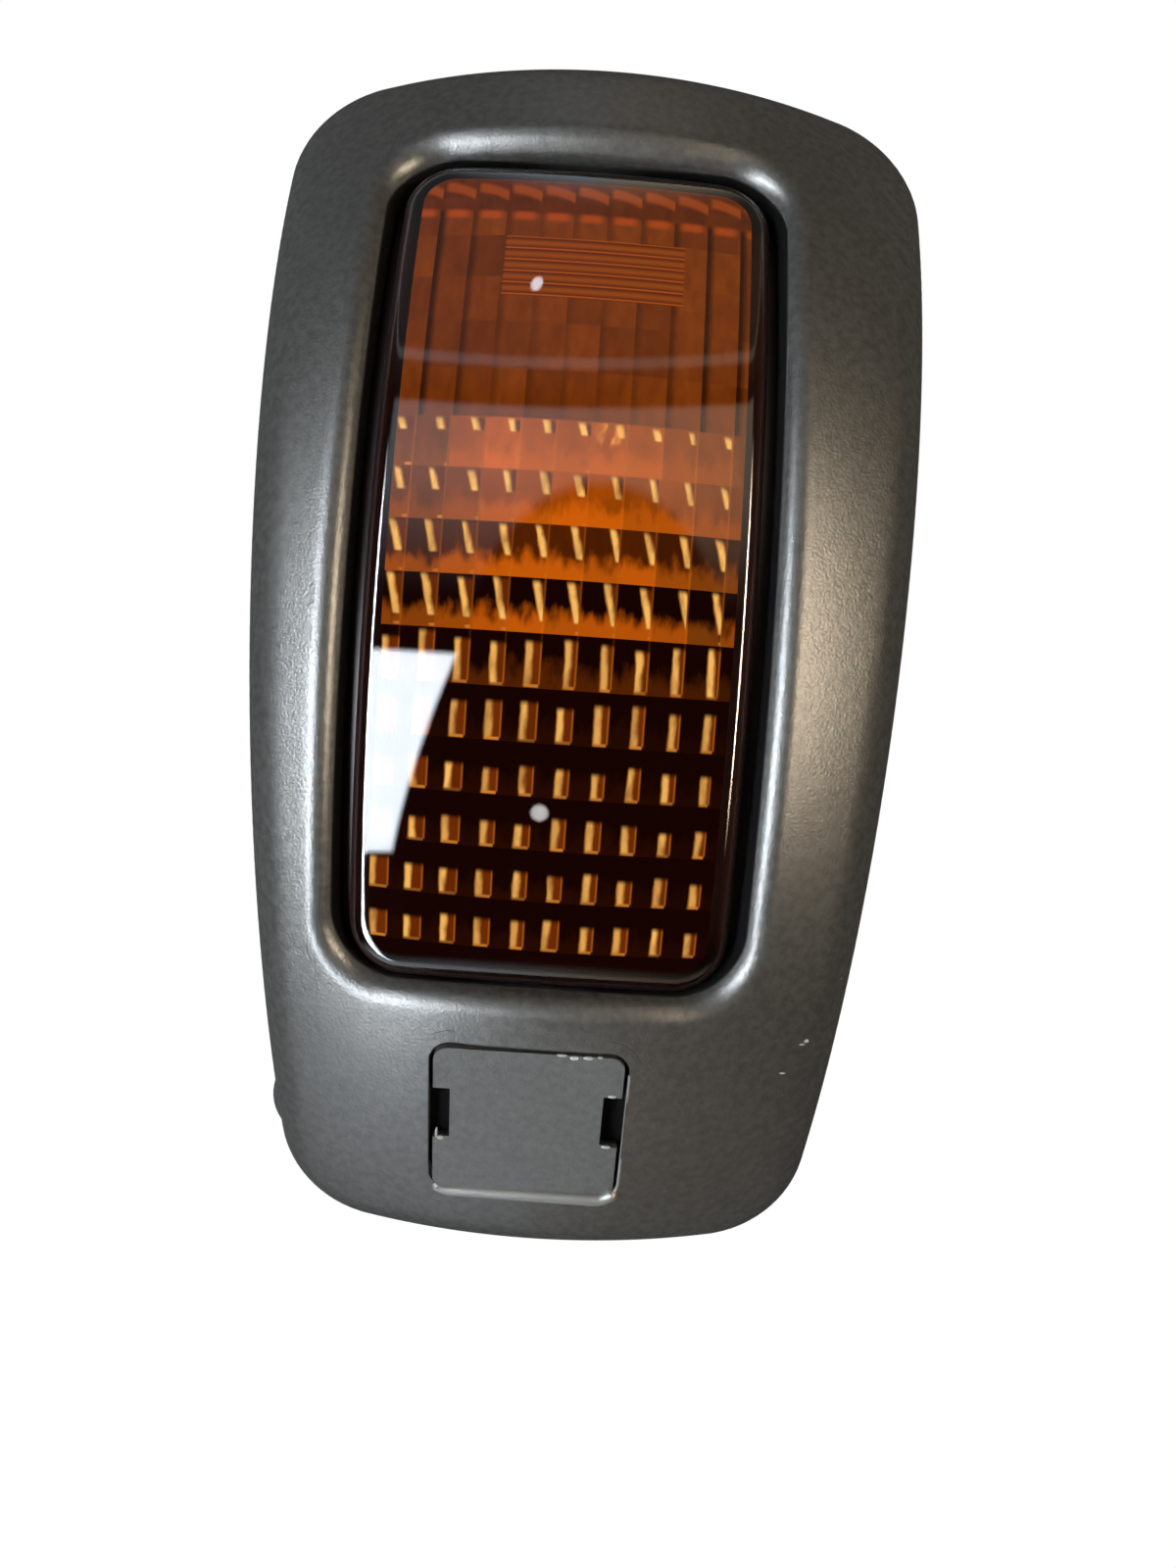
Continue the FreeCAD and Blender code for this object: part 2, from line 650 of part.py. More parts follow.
def lens_optics():
    """Ten columns of convex flutes, cut across by rows of prism teeth below the middle."""
    flutes = new_body("lens_flutes")
    sketch = new_sketch(flutes, "flute_profile", "XY_Plane", shift="window_shift")
    count = int(size("cell_columns"))
    half, width = size("cells_half"), size("cell_width")
    outer, inner, rise = size("optics_outer"), size("optics_inner"), size("flute_rise")
    bend = (rise ** 2 + (width / 2) ** 2) / (2 * rise)
    sketch.addGeometry(Part.LineSegment(FreeCAD.Vector(half, inner, 0), FreeCAD.Vector(half, outer, 0)))
    sketch.addGeometry(Part.LineSegment(FreeCAD.Vector(half, outer, 0), FreeCAD.Vector(-half, outer, 0)))
    sketch.addGeometry(Part.LineSegment(FreeCAD.Vector(-half, outer, 0), FreeCAD.Vector(-half, inner, 0)))
    hold(sketch, "Coincident", 0, 2, 1, 1)
    hold(sketch, "Coincident", 1, 2, 2, 1)
    hold(sketch, "Vertical", 0)
    hold(sketch, "Vertical", 2)
    hold(sketch, "Horizontal", 1)
    hold(sketch, "DistanceX", -1, 1, 0, 1, text="cells_half", number=half)
    hold(sketch, "DistanceX", -1, 1, 2, 1, text="0 - cells_half", number=-half)
    hold(sketch, "DistanceY", -1, 1, 0, 1, text="optics_inner", number=inner)
    hold(sketch, "DistanceY", -1, 1, 0, 2, text="optics_outer", number=outer)
    for index in range(count):
        left = FreeCAD.Vector(-half + index * width, inner, 0)
        right = left + FreeCAD.Vector(width, 0, 0)
        sketch.addGeometry(arc_between(left, right, bend))
        last = 2 if index == 0 else index + 2
        hold(sketch, "Coincident", last, 2, index + 3, 1)
        if index < count - 1:
            hold(sketch, "DistanceX", -1, 1, index + 3, 2, text=f"cell_width * {index + 1} - cells_half",
                 number=right.x)
            hold(sketch, "DistanceY", -1, 1, index + 3, 2, text="optics_inner", number=inner)
        else:
            hold(sketch, "Coincident", index + 3, 2, 0, 1)
        hold(sketch, "Radius", index + 3, number=bend,
             text="(flute_rise * flute_rise + cell_width * cell_width / 4) / (2 * flute_rise)")
    ring = flutes.newObject("PartDesign::Revolution", "flute_ring")
    ring.Profile = sketch
    ring.ReferenceAxis = (sketch, ["H_Axis"])
    ring.Angle = 360.0
    on_barrel(flutes)
    doc.recompute()
    rows = new_body("lens_rows")
    tooth = new_sketch(rows, "tooth_profile", "YZ_Plane")
    lower, upper = "cos(cell_angle / 2 * 1 deg)", "sin(cell_angle / 2 * 1 deg)"
    deep, shallow = "(optics_inner - cell_rise)", "(optics_inner - cell_rise + cell_step)"
    polygon(tooth, [(f"0 - {r} * {lower}", f"{sign} * {r} * {upper}") for r, sign in (
        ("optics_outer", 1), ("optics_outer", -1), (shallow, -1), (deep, 1))])
    bar = rows.newObject("PartDesign::Pad", "tooth_bar")
    bar.Profile = tooth
    bar.Midplane = True
    bind(bar, "Length", "2 * cells_half")
    doc.recompute()
    pattern = rows.newObject("PartDesign::PolarPattern", "tooth_rows")
    pattern.Originals = [bar]
    pattern.Axis = (plane(rows, "X_Axis"), [""])
    bind(pattern, "Angle", "cell_angle * cell_rows")
    bind(pattern, "Occurrences", "cell_rows")
    rows.Tip = pattern
    on_barrel(rows, "0 - cell_top_angle")
    doc.recompute()
    ribs = join("lens_ribs", *[
        block(f"lens_rib_{n}", ("window_shift - rib_length / 2", "rib_length"), ("no_inset", "front_depth"),
              (f"rib_top - {n} * rib_pitch", "rib_height")) for n in range(5)])
    zone = new_body("rib_zone")
    prism(zone, WINDOW, "cell_inset", "no_inset", "far_depth")
    bow_cut(zone, "rib_zone_front", "optics_depth", "back")
    bow_cut(zone, "rib_zone_back", "rib_back", "front")
    trim = new_body("cell_trim")
    prism(trim, WINDOW, "cell_inset", "no_inset", "far_depth")
    upper = block("flute_zone", ("window_shift - cells_half", "2 * cells_half"), ("no_inset",
            "front_depth"),
                  ("flute_start", "window_top - lens_gap - lens_wall - flute_start"))
    grid = combine("Common", "lens_grid", join("lens_zones", rows, upper), flutes)
    cells = combine("Common", "lens_cells", grid, trim)
    return cells, combine("Common", "lens_marks", ribs, zone)


def lens():
    """Amber pillow lens with a clamped flange and its optics moulded on the inside."""
    pillow = new_body("lens_pillow")
    prism(pillow, WINDOW, "lens_inset", "no_inset", "far_depth")
    bow_cut(pillow, "lens_face", "lens_recess", "back")
    bow_cut(pillow, "lens_foot", "flange_bottom", "front")
    round_edges(pillow, "lens_edge_round", pillow.Tip, front_edges(pillow.Tip, "lens_recess"), "lens_edge")
    flange = new_body("lens_flange")
    prism(flange, WINDOW, "flange_inset", "no_inset", "far_depth")
    bow_cut(flange, "flange_face", "flange_top", "back")
    bow_cut(flange, "flange_foot", "flange_bottom", "front")
    hollow = new_body("lens_hollow")
    prism(hollow, WINDOW, "lens_inner_inset", "no_inset", "far_depth")
    bow_cut(hollow, "lens_hollow_face", "lens_inner_depth", "back")
    shell = combine("Cut", "lens_shell", join("lens_outside", pillow, flange), hollow)
    cells, ribs = lens_optics()
    return join("lens", shell, cells, ribs)


def front_edges(feature, depth):
    """A test for the edges round the bowed face that lies a depth below the front."""
    radius = size(f"bow_radius - {depth}")
    axis = FreeCAD.Vector(0, size("bow_axis"), size("bow_centre"))

    def is_front(face):
        if face.Surface.TypeId != "Part::GeomSurfaceOfRevolution":
            return False
        u0, u1, v0, v1 = face.ParameterRange
        point = face.valueAt((u0 + u1) / 2, (v0 + v1) / 2)
        return abs(math.hypot(point.y - axis.y, point.z - axis.z) - radius) < 1.0
    front = [f for f in feature.Shape.Faces if is_front(f)]
    return lambda edge: any(edge.isSame(other) for f in front for other in f.Edges)


def bowed_ring(name, outer, inner, top, bottom):
    """A ring that follows the window's outline between two depths below the front."""
    rings = []
    for side, inset in (("outer", outer), ("inner", inner)):
        body = new_body(f"{name}_{side}")
        prism(body, WINDOW, inset, "no_inset", "far_depth")
        if side == "outer":
            bow_cut(body, f"{name}_top", top, "back")
            bow_cut(body, f"{name}_bottom", bottom, "front")
        rings.append(body)
    return combine("Cut", name, *rings)


def lens_seal():
    """Rubber ring between the lens flange and the rim of the light chamber."""
    return bowed_ring("lens_seal", "seal_outer_inset", "seal_inner_inset", "seal_top", "seal_bottom")


def lamp_body():
    """Black rear tray: plate inside the gasket, light chamber, screw boss and the hook for the door."""
    plate = new_body("body_plate")
    prism(plate, COVER, "plate_inset", "plate_recess", "plate_thick")
    step = new_body("body_step")
    prism(step, COVER, "flange_plate_inset", "gasket_thick", "plate_front - gasket_thick")
    chamber = new_body("chamber")
    prism(chamber, WINDOW, "chamber_outer_inset", "plate_recess", "far_depth")
    bow_cut(chamber, "chamber_rim", "rim_depth", "back")
    hollow = new_body("chamber_hollow")
    prism(hollow, WINDOW, "chamber_inner_inset", "plate_front", "far_depth")
    boss = fixing_rod("fixing_boss", "tower_bore + tower_wall", "plate_recess", "fixing_seat - seat_wall")
    stem = block("hook_stem", ("window_shift - hook_width / 2", "hook_width"),
                 ("0 - door_grip - hook_wall", "door_grip + hook_wall + plate_front"), ("hook_height",
                         "hook_wall"))
    lip = block("hook_tip", ("window_shift - hook_width / 2", "hook_width"),
                ("0 - door_grip - hook_wall", "hook_wall"), ("hook_height", "hook_wall + hook_lip"))
    whole = join("body_solid", plate, step, chamber, boss, stem, lip)
    tunnel = bulb_rod("bulb_tunnel", "tunnel_radius", "0 - plate_thick", "plate_front + bore_gap")
    hole = fixing_rod("sleeve_hole", "sleeve_hole_radius", "0 - plate_thick", "fixing_seat")
    holes = []
    for place, (x, z) in POSTS.items():
        holes.append(rod(f"screw_way_{place}", "cover_screw_radius + bore_gap", "0 - plate_thick",
                "3 * plate_thick", x, z))
        holes.append(rod(f"screw_sink_{place}", "cover_screw_head + bore_gap", "0 - plate_thick",
                         "plate_thick + screw_sink", x, z))
    return combine("Cut", "lamp_body", whole, hollow, tunnel, hole, *holes)


def reflector():
    """Metallised tray with a bowl round the bulb."""
    tray = new_body("reflector_tray")
    prism(tray, WINDOW, "reflector_inset", "reflector_back", "far_depth")
    bow_cut(tray, "reflector_rim_cut", "reflector_rim", "back")
    hollow = new_body("reflector_hollow")
    prism(hollow, WINDOW, "reflector_inner_inset", "reflector_back + reflector_wall", "far_depth")
    shell = combine("Cut", "reflector_shell", tray, hollow)
    dish = combine("Cut", "bowl_shell", ball("bowl_outside", "bowl_bend + reflector_wall", "bowl_centre"),
                   ball("bowl_inside", "bowl_bend", "bowl_centre"))
    reach = bulb_rod("bowl_reach", "bowl_radius", "reflector_back", "bowl_rim")
    bowl = combine("Common", "bowl", dish, reach)
    collar = bulb_rod("bowl_collar", "tunnel_radius + reflector_wall", "reflector_back",
            "bowl_rim - bowl_depth")
    hole = bulb_rod("reflector_hole", "tunnel_radius", "no_inset", "front_depth")
    return combine("Cut", "reflector", join("reflector_solid", shell, bowl, collar), hole)


def bulb_glass():
    """Clear glass envelope, open where it is cemented into the cap."""
    outside = join("glass_outside", ball("glass_ball", "bulb_radius", "bulb_centre"),
                   bulb_rod("glass_neck", "bulb_neck", "glass_end", "bulb_centre"))
    inside = join("glass_inside", ball("glass_ball_hollow", "bulb_radius - bulb_glass_wall", "bulb_centre"),
                  bulb_rod("glass_neck_hollow", "bulb_neck - bulb_glass_wall",
                          "glass_end - bulb_glass_wall", "bulb_centre"))
    return combine("Cut", "bulb_glass", outside, inside)


def bulb_stem():
    """Glass foot that carries the filament's wires."""
    thing = doc.addObject("Part::Cone", "bulb_stem")
    thing.Placement.Rotation = FreeCAD.Rotation(FreeCAD.Vector(1, 0, 0), 90)
    bind(thing, "Radius1", "stem_radius")
    bind(thing, "Radius2", "filament_half + filament_wire * 2")
    bind(thing, "Height", "stem_top - glass_end")
    bind(thing, "Placement.Base.x", "window_shift")
    bind(thing, "Placement.Base.y", "0 - glass_end")
    bind(thing, "Placement.Base.z", "bulb_height")
    doc.recompute()
    return thing


def bulb_filament():
    """Two lead wires with the coiled filament between their tips."""
    leads = [rod(f"lead_{side}", "filament_wire", "stem_top", "bulb_centre - stem_top",
                 f"window_shift {sign} filament_half", "bulb_height") for side, sign in (("left", "-"),
                         ("right", "+"))]
    coil = doc.addObject("Part::Cylinder", "filament_coil")
    coil.Placement.Rotation = FreeCAD.Rotation(FreeCAD.Vector(0, 1, 0), 90)
    bind(coil, "Radius", "filament_wire * 1.5")
    bind(coil, "Height", "2 * filament_half + 2 * filament_wire")
    bind(coil, "Placement.Base.x", "window_shift - filament_half - filament_wire")
    bind(coil, "Placement.Base.y", "0 - bulb_centre")
    bind(coil, "Placement.Base.z", "bulb_height")
    doc.recompute()
    return join("bulb_filament", *leads, coil)


def bulb_cap():
    """Brass bayonet cap with its two pins."""
    shell = bulb_rod("base_outside", "base_radius", "base_end", "base_front")
    pins = doc.addObject("Part::Cylinder", "base_pins")
    pins.Placement.Rotation = FreeCAD.Rotation(FreeCAD.Vector(0, 1, 0), 90)
    bind(pins, "Radius", "pin_radius")
    bind(pins, "Height", "2 * base_radius + 2 * pin_reach")
    bind(pins, "Placement.Base.x", "window_shift - base_radius - pin_reach")
    bind(pins, "Placement.Base.y", "0 - pin_depth")
    bind(pins, "Placement.Base.z", "bulb_height")
    doc.recompute()
    core = bulb_rod("base_core", "base_radius - base_wall", "base_end + base_wall",
            "base_front + base_wall")
    return combine("Cut", "bulb_cap", join("base_with_pins", shell, pins), core)


def bulb_holder():
    """Black holder turned into the body from behind: flange, neck, barrel and the slots of its contacts."""
    solid = join("holder_solid", bulb_rod("holder_disc", "holder_flange", "flange_back", "flange_front"),
                 bulb_rod("holder_neck", "neck_radius", "flange_back", "neck_front"),
                 bulb_rod("holder_tube", "holder_barrel", "holder_end", "flange_front"))
    recess = bulb_rod("holder_recess", "neck_radius - holder_flange_wall", "flange_front", "front_depth")
    bore = bulb_rod("holder_hole", "holder_bore", "holder_end + holder_floor",
            "flange_front + holder_floor")
    return combine("Cut", "bulb_holder", solid, recess, bore, earth_strip("earth_slot", "clearance"),
                   live_blade("live_slot", "clearance"))


def earth_strip(name, grow):
    """The flat strip beside the sleeve, which runs on as a blade, or its slot."""
    return block(name, (f"window_shift - blade_width / 2 - {grow}", f"blade_width + 2 * {grow}"),
                 (f"blade_end - {grow}", f"earth_front - blade_end + 2 * {grow}"),
                 (f"bulb_height + sleeve_outer + clearance - {grow}", f"blade_wall + 2 * {grow}"))


def live_blade(name, grow):
    """The blade behind the leaf under the bulb's contact, or its slot."""
    return block(name, (f"window_shift - blade_width / 2 - {grow}", f"blade_width + 2 * {grow}"),
                 (f"blade_end - {grow}", f"leaf_back - blade_end + blade_wall + {grow}"),
                 (f"bulb_height - blade_spread - blade_wall - {grow}", f"blade_wall + 2 * {grow}"))


def live_contact():
    """Bent brass strip: a leaf under the bulb's contact and a blade end."""
    leaf = block("live_leaf", ("window_shift - blade_width / 2", "blade_width"), ("leaf_back",
            "blade_wall"),
                 ("bulb_height - blade_spread - blade_wall", "2 * blade_spread"))
    return join("live_contact", leaf, live_blade("live_end", "no_inset"))


def earth_contact():
    """Brass strip on the sleeve, with a blade end."""
    return earth_strip("earth_contact", "no_inset")


def holder_sleeve():
    """Bayonet sleeve with a lip on the holder's face and two slots for the pins."""
    tube = join("sleeve_solid", bulb_rod("sleeve_tube", "sleeve_outer", "sleeve_back", "sleeve_front"),
                bulb_rod("sleeve_rim", "sleeve_lip", "flange_front", "sleeve_front"))
    bore = bulb_rod("sleeve_hole_way", "sleeve_inner", "holder_end", "front_depth")
    ways = block("pin_ways", ("window_shift - holder_bore", "2 * holder_bore"),
            ("pin_depth - pin_play", "front_depth"),
                 ("bulb_height + pin_play", "2 * pin_play"))
    seats = block("pin_seats", ("window_shift - holder_bore", "2 * holder_bore"),
            ("pin_depth - pin_play", "2 * pin_play"),
                  ("bulb_height - pin_play", "3 * pin_play"))
    return combine("Cut", "holder_sleeve", tube, bore, ways, seats)


def cover_screws():
    """Four self-tapping screws through the plate into the cover's posts."""
    screws = []
    for place, (x, z) in POSTS.items():
        screws.append(join(
            f"screw_{place}",
            rod(f"screw_head_{place}", "cover_screw_head", "screw_sink - cover_screw_head_height",
                "cover_screw_head_height", x, z),
            rod(f"screw_shank_{place}", "cover_screw_radius", "screw_sink - cover_screw_head_height",
                "cover_screw_length", x, z)))
    return join("cover_screws", *screws)


def fixing_screw():
    """Captive screw under the cap: waisted inside the lamp, with its threaded end free behind it."""
    head = fixing_rod("fixing_head_solid", "fixing_head", "head_seat", "head_seat + fixing_head_height")
    waist = fixing_rod("fixing_waist_solid", "fixing_waist", "0 - bore_gap",
            "head_seat + fixing_head_height / 2")
    thread = fixing_rod("fixing_thread", "fixing_radius", "0 - fixing_end", "0 - bore_gap")
    hexagon = doc.addObject("Part::Prism", "hex_socket")
    hexagon.Placement.Rotation = FreeCAD.Rotation(FreeCAD.Vector(1, 0, 0), 90)
    hexagon.Polygon = 6
    bind(hexagon, "Circumradius", "fixing_radius")
    bind(hexagon, "Height", "fixing_head_height")
    bind(hexagon, "Placement.Base.x", "window_shift")
    bind(hexagon, "Placement.Base.y", "0 - head_seat - fixing_head_height / 2")
    bind(hexagon, "Placement.Base.z", "fixing_height")
    doc.recompute()
    return combine("Cut", "fixing_screw", join("fixing_solid", head, waist, thread), hexagon)


def tube(name, outer, inner, start, end):
    """A straight tube on the fixing screw's axis."""
    return combine("Cut", name, fixing_rod(f"{name}_outside", outer, start, end),
                   fixing_rod(f"{name}_inside", inner, f"{start} - plate_thick", f"{end} + plate_thick"))


def door_gasket():
    """Foam ring between lamp and door, a little wider than the cover."""
    outer = new_body("gasket_outer")
    prism(outer, COVER, "gasket_outer_inset", "no_inset", "gasket_thick")
    inner = new_body("gasket_inner")
    prism(inner, COVER, "gasket_inner_inset", "0 - gasket_thick", "3 * gasket_thick")
    return combine("Cut", "door_gasket", outer, inner)


MAKERS = (front_cover, screw_cap, lens, lens_seal, lamp_body, reflector, bulb_glass, bulb_stem,
        bulb_filament,
          bulb_cap, bulb_holder, holder_sleeve, live_contact, earth_contact, cover_screws,
                  fixing_screw, door_gasket)
pieces = [make() for make in MAKERS]
pieces.append(bulb_rod("bulb_insulator", "base_radius - base_wall", "bulb_end + contact_thick", "base_end"))
pieces.append(bulb_rod("bulb_contact", "base_radius / 2", "bulb_end", "bulb_end + contact_thick"))
pieces.append(combine("Cut", "holder_seal", bulb_rod("seal_disc", "holder_flange - bore_gap",
        "flange_front", "plate_recess"),
                      bulb_rod("seal_hole", "tunnel_radius + bore_gap", "holder_end", "front_depth")))
pieces.append(tube("fixing_washer", "washer_radius", "fixing_radius + bore_gap", "fixing_seat",
        "head_seat"))
pieces.append(tube("screw_sleeve", "sleeve_hole_radius - clearance / 2", "fixing_radius + bore_gap",
                   "plate_recess", "fixing_seat - seat_wall"))

broken = [thing.Name for thing in doc.Objects if {"Invalid", "Error"} & set(thing.State)]
for piece in pieces:
    piece.Label = piece.Name
    if piece.Shape.isNull() or not piece.Shape.isValid():
        broken.append(piece.Label)
if broken:
    raise RuntimeError("these did not build: " + ", ".join(broken))
os.makedirs("parts", exist_ok=True)
for piece in pieces:
    piece.Shape.exportStep(f"parts/{piece.Label}.step")
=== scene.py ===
"""Truck door lamp: materials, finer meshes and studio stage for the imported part."""

import math
from functools import partial
from types import SimpleNamespace

import bpy
from mathutils import Matrix, Vector


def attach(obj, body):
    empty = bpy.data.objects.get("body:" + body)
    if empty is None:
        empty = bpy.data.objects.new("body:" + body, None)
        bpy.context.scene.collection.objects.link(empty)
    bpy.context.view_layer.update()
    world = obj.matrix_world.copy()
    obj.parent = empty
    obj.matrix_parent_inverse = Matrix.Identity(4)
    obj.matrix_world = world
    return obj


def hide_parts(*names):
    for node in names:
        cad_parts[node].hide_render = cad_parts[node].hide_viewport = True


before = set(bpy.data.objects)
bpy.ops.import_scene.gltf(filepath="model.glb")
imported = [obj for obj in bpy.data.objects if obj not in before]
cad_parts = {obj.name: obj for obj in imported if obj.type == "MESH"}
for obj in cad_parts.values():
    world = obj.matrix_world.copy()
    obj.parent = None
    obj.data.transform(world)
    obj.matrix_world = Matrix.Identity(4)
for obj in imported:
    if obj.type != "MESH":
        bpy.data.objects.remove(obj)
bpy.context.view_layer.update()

bl_info = {
    "name": "Truck Door Lamp",
    "version": (1, 0, 0),
    "blender": (4, 5, 0),
    "location": "View3D > Sidebar > Lamp",
    "description": "Dresses the packed truck door lamp and sets up its studio stage",
    "category": "Object",
}

WHITE = (1.0, 1.0, 1.0, 1.0)
# Material slots of the lens: clear amber, a dark red painted as shade on its outer edge, wall and flange,
# and the prisms' painted light.
GLASS, EDGE_SHADE, OPTICS = range(3)
# Share of the light that the grained plastic mirrors, and that it mirrors where shade is painted in its
# opening and recess.
SHEEN, PAINTED_SHADE_SHEEN = 0.038, 0.002
# Near black painted shade, and its roughness, for the skirt round the lens and the recess of the screw cap.
PAINTED_SHADE, PAINTED_SHADE_ROUGHNESS = "#050404", 0.9
# Dust, torn plastic, and the paler grey painted on the lip below the recess as a highlight.
DUST, TORN, LIP_HIGHLIGHT = "#c9cac6", "#c4c6c4", "#8f8e88"
# Place across and up, and shape, of each burr on the screw cap and each nick on the cover.
BURRS = (
    ((-0.0137, -0.0651), (1.6, 0.7, 0.9)),
    ((-0.0142, -0.0643), (0.6, 0.7, 2.4)),
    ((0.0086, -0.0571), (1.9, 0.7, 0.8)),
    ((0.0084, -0.0650), (2.2, 0.7, 0.8)),
    ((0.0017, -0.0514), (2.4, 0.7, 0.7)),
    ((0.0033, -0.0517), (2.0, 0.8, 1.0)),
    ((0.0051, -0.0516), (2.4, 0.8, 0.9)),
    ((0.0066, -0.0514), (1.2, 0.7, 0.7)),
)
NICKS = (
    ((0.0332, -0.0492), (1.6, 0.5, 0.5)),
    ((0.0338, -0.0487), (1.3, 0.5, 0.9)),
    ((0.0310, -0.0534), (2.0, 0.5, 0.5)),
)
# Middle, width and height of each pry notch in the screw cap.
NOTCHES = (((-0.0139, -0.0611), (0.0028, 0.0074)), ((0.0088, -0.0610), (0.0026, 0.0074)))
NOTCH_DEPTH = 0.02
# Two heights on the flat face of the cap that give its slope.
PLATE_HIGH, PLATE_LOW = -0.055, -0.068
# Thickness of the lip below the recess at its left end and up its right side, as shares of its full
# thickness.
LIP_END, LIP_SIDE, LIP_FADE = 0.5, 0.55, 0.3
# The prisms' painted light: dark of a cell, its streak, the amber at its foot, its bright lip and its seam.
CELL_DARK = "#140200"
STREAK_SHADE, STREAK_CORE, STREAK_DULL = "#642a03", "#ffd070", "#7a3a08"
FOOT_MIDDLE, FOOT_SIDE = "#d2690a", "#76400e"
CELL_LIP, CELL_SEAM, BULB_GLOW = "#e39a3c", "#c8761e", "#ffb050"
# The painted light of the flutes above them, with the ribs, the top strip, the beads and the scallops.
FLUTE_SHADE, FLUTE_LIGHT, FLUTE_DULL, FLUTE_FOLD = "#5c2a08", "#8e4a10", "#4a1f06", "#140500"
RIB_SHADE, RIB_LIGHT, RIB_LINE = "#5a2606", "#8c480e", "#b0581a"
TOP_SHADE, TOP_LIGHT, BEAD, SCALLOP = "#3c1804", "#6e340a", "#b9521a", "#8f4512"
# Stretch of the uneven light across and up the lens and from row to row, and its middle column.
DRIP_ACROSS, DRIP_UP, DRIP_ROW, MIDDLE_COLUMN = 650.0, 260.0, 3.7, 5.0
# Name, place, width and height, power and colour of each soft box.
BOXES = (
    ("left box", (-0.55, -0.45, -0.25), (0.6, 0.6), 3.8, "#e8f2ff"),
    ("right box", (0.55, -0.45, 0.1), (0.5, 0.6), 1.1, "#ffe8cc"),
)
# What glossy faces reflect, in degrees of turn to the right of the front and of lift above it.
ROOM_RADIUS, ROOM_GLOW = 2.0, 0.02
ROOM_COOL, ROOM_WARM, ROOM_TURN = "#eef6ff", "#ffe9cc", 20.0
WALL_SLOPE, WALL_FADE, WALL_TOP, WALL_TURN, WALL_GLOW = -0.06, (9.0, 32.0), (39.0, 40.4), 36.0, 1.6
UPPER_LIFT, UPPER_GLOW = (39.0, 50.0), 0.2
LINE_LIFT, LINE_GLOW = (45.8, 47.4), 0.9
OVAL_PLACE, OVAL_REACH, OVAL_EDGE = (2.5, 6.0), (17.5, 23.0), (0.85, 1.1)
PANE_LIFT, PANE_LEAN, PANE_GLOW = (-27.0, 2.0), -0.33, 27.0
PANE_LEFT, PANE_RIGHT = (-36.0, -34.0), (-17.6, -16.4)
SPOTS, SPOT_EDGE, SPOT_GLOW = ((-14.2, 58.4), (-3.8, -20.7)), (0.5, 2.4), 14.0
LEFT_STRIP, LEFT_STRIP_LIFT, LEFT_STRIP_GLOW = (-44.5, -37.0), (-46.0, 20.0), 100.0
RIGHT_STRIP, RIGHT_STRIP_LIFT, RIGHT_STRIP_GLOW = (37.5, 44.0), (-12.0, 24.0), 80.0
STRIP_SOFT, STRIP_LIFT_SOFT = 2.5, 12.0
TABLE_LIFT, TABLE_TURN, TABLE_FALL, TABLE_GLOW = (-56.0, -43.0), 50.0, -0.75, 2.6
CEILING_LIFT, CEILING_GLOW = (72.0, 82.0), 1.5


def linear(code):
    """The linear RGBA of an sRGB hex colour."""
    parts = [int(code[i:i + 2], 16) / 255 for i in (1, 3, 5)]
    rgb = [p / 12.92 if p <= 0.04045 else ((p + 0.055) / 1.055) ** 2.4 for p in parts]
    return (*rgb, 1.0)


def add(tree, kind, inputs=None, **settings):
    """Adds a shader node; an input is a value, or a socket that is linked to it."""
    node = tree.nodes.new(kind)
    for key, value in settings.items():
        setattr(node, key, value)
    for key, value in (inputs or {}).items():
        if isinstance(value, bpy.types.NodeSocket):
            tree.links.new(value, node.inputs[key])
        else:
            node.inputs[key].default_value = value
    return node


def blank(name):
    """An empty node material and its tree."""
    material = bpy.data.materials.new(name)
    material.use_nodes = True
    material.node_tree.nodes.clear()
    return material, material.node_tree


def surface(tree, shader, volume=None):
    """Sends a shader, and a volume if there is one, to the material's output."""
    inputs = {"Surface": shader.outputs[0]}
    if volume:
        inputs["Volume"] = volume.outputs[0]
    add(tree, "ShaderNodeOutputMaterial", inputs)


def place(tree):
    """Object coordinates, in metres in the lamp's frame."""
    return add(tree, "ShaderNodeTexCoord").outputs["Object"]


def plain(name, colour, roughness, metallic=0.0):
    """A material of one colour."""
    material, tree = blank(name)
    inputs = {"Base Color": linear(colour), "Roughness": roughness, "Metallic": metallic}
    surface(tree, add(tree, "ShaderNodeBsdfPrincipled", inputs))
    return material


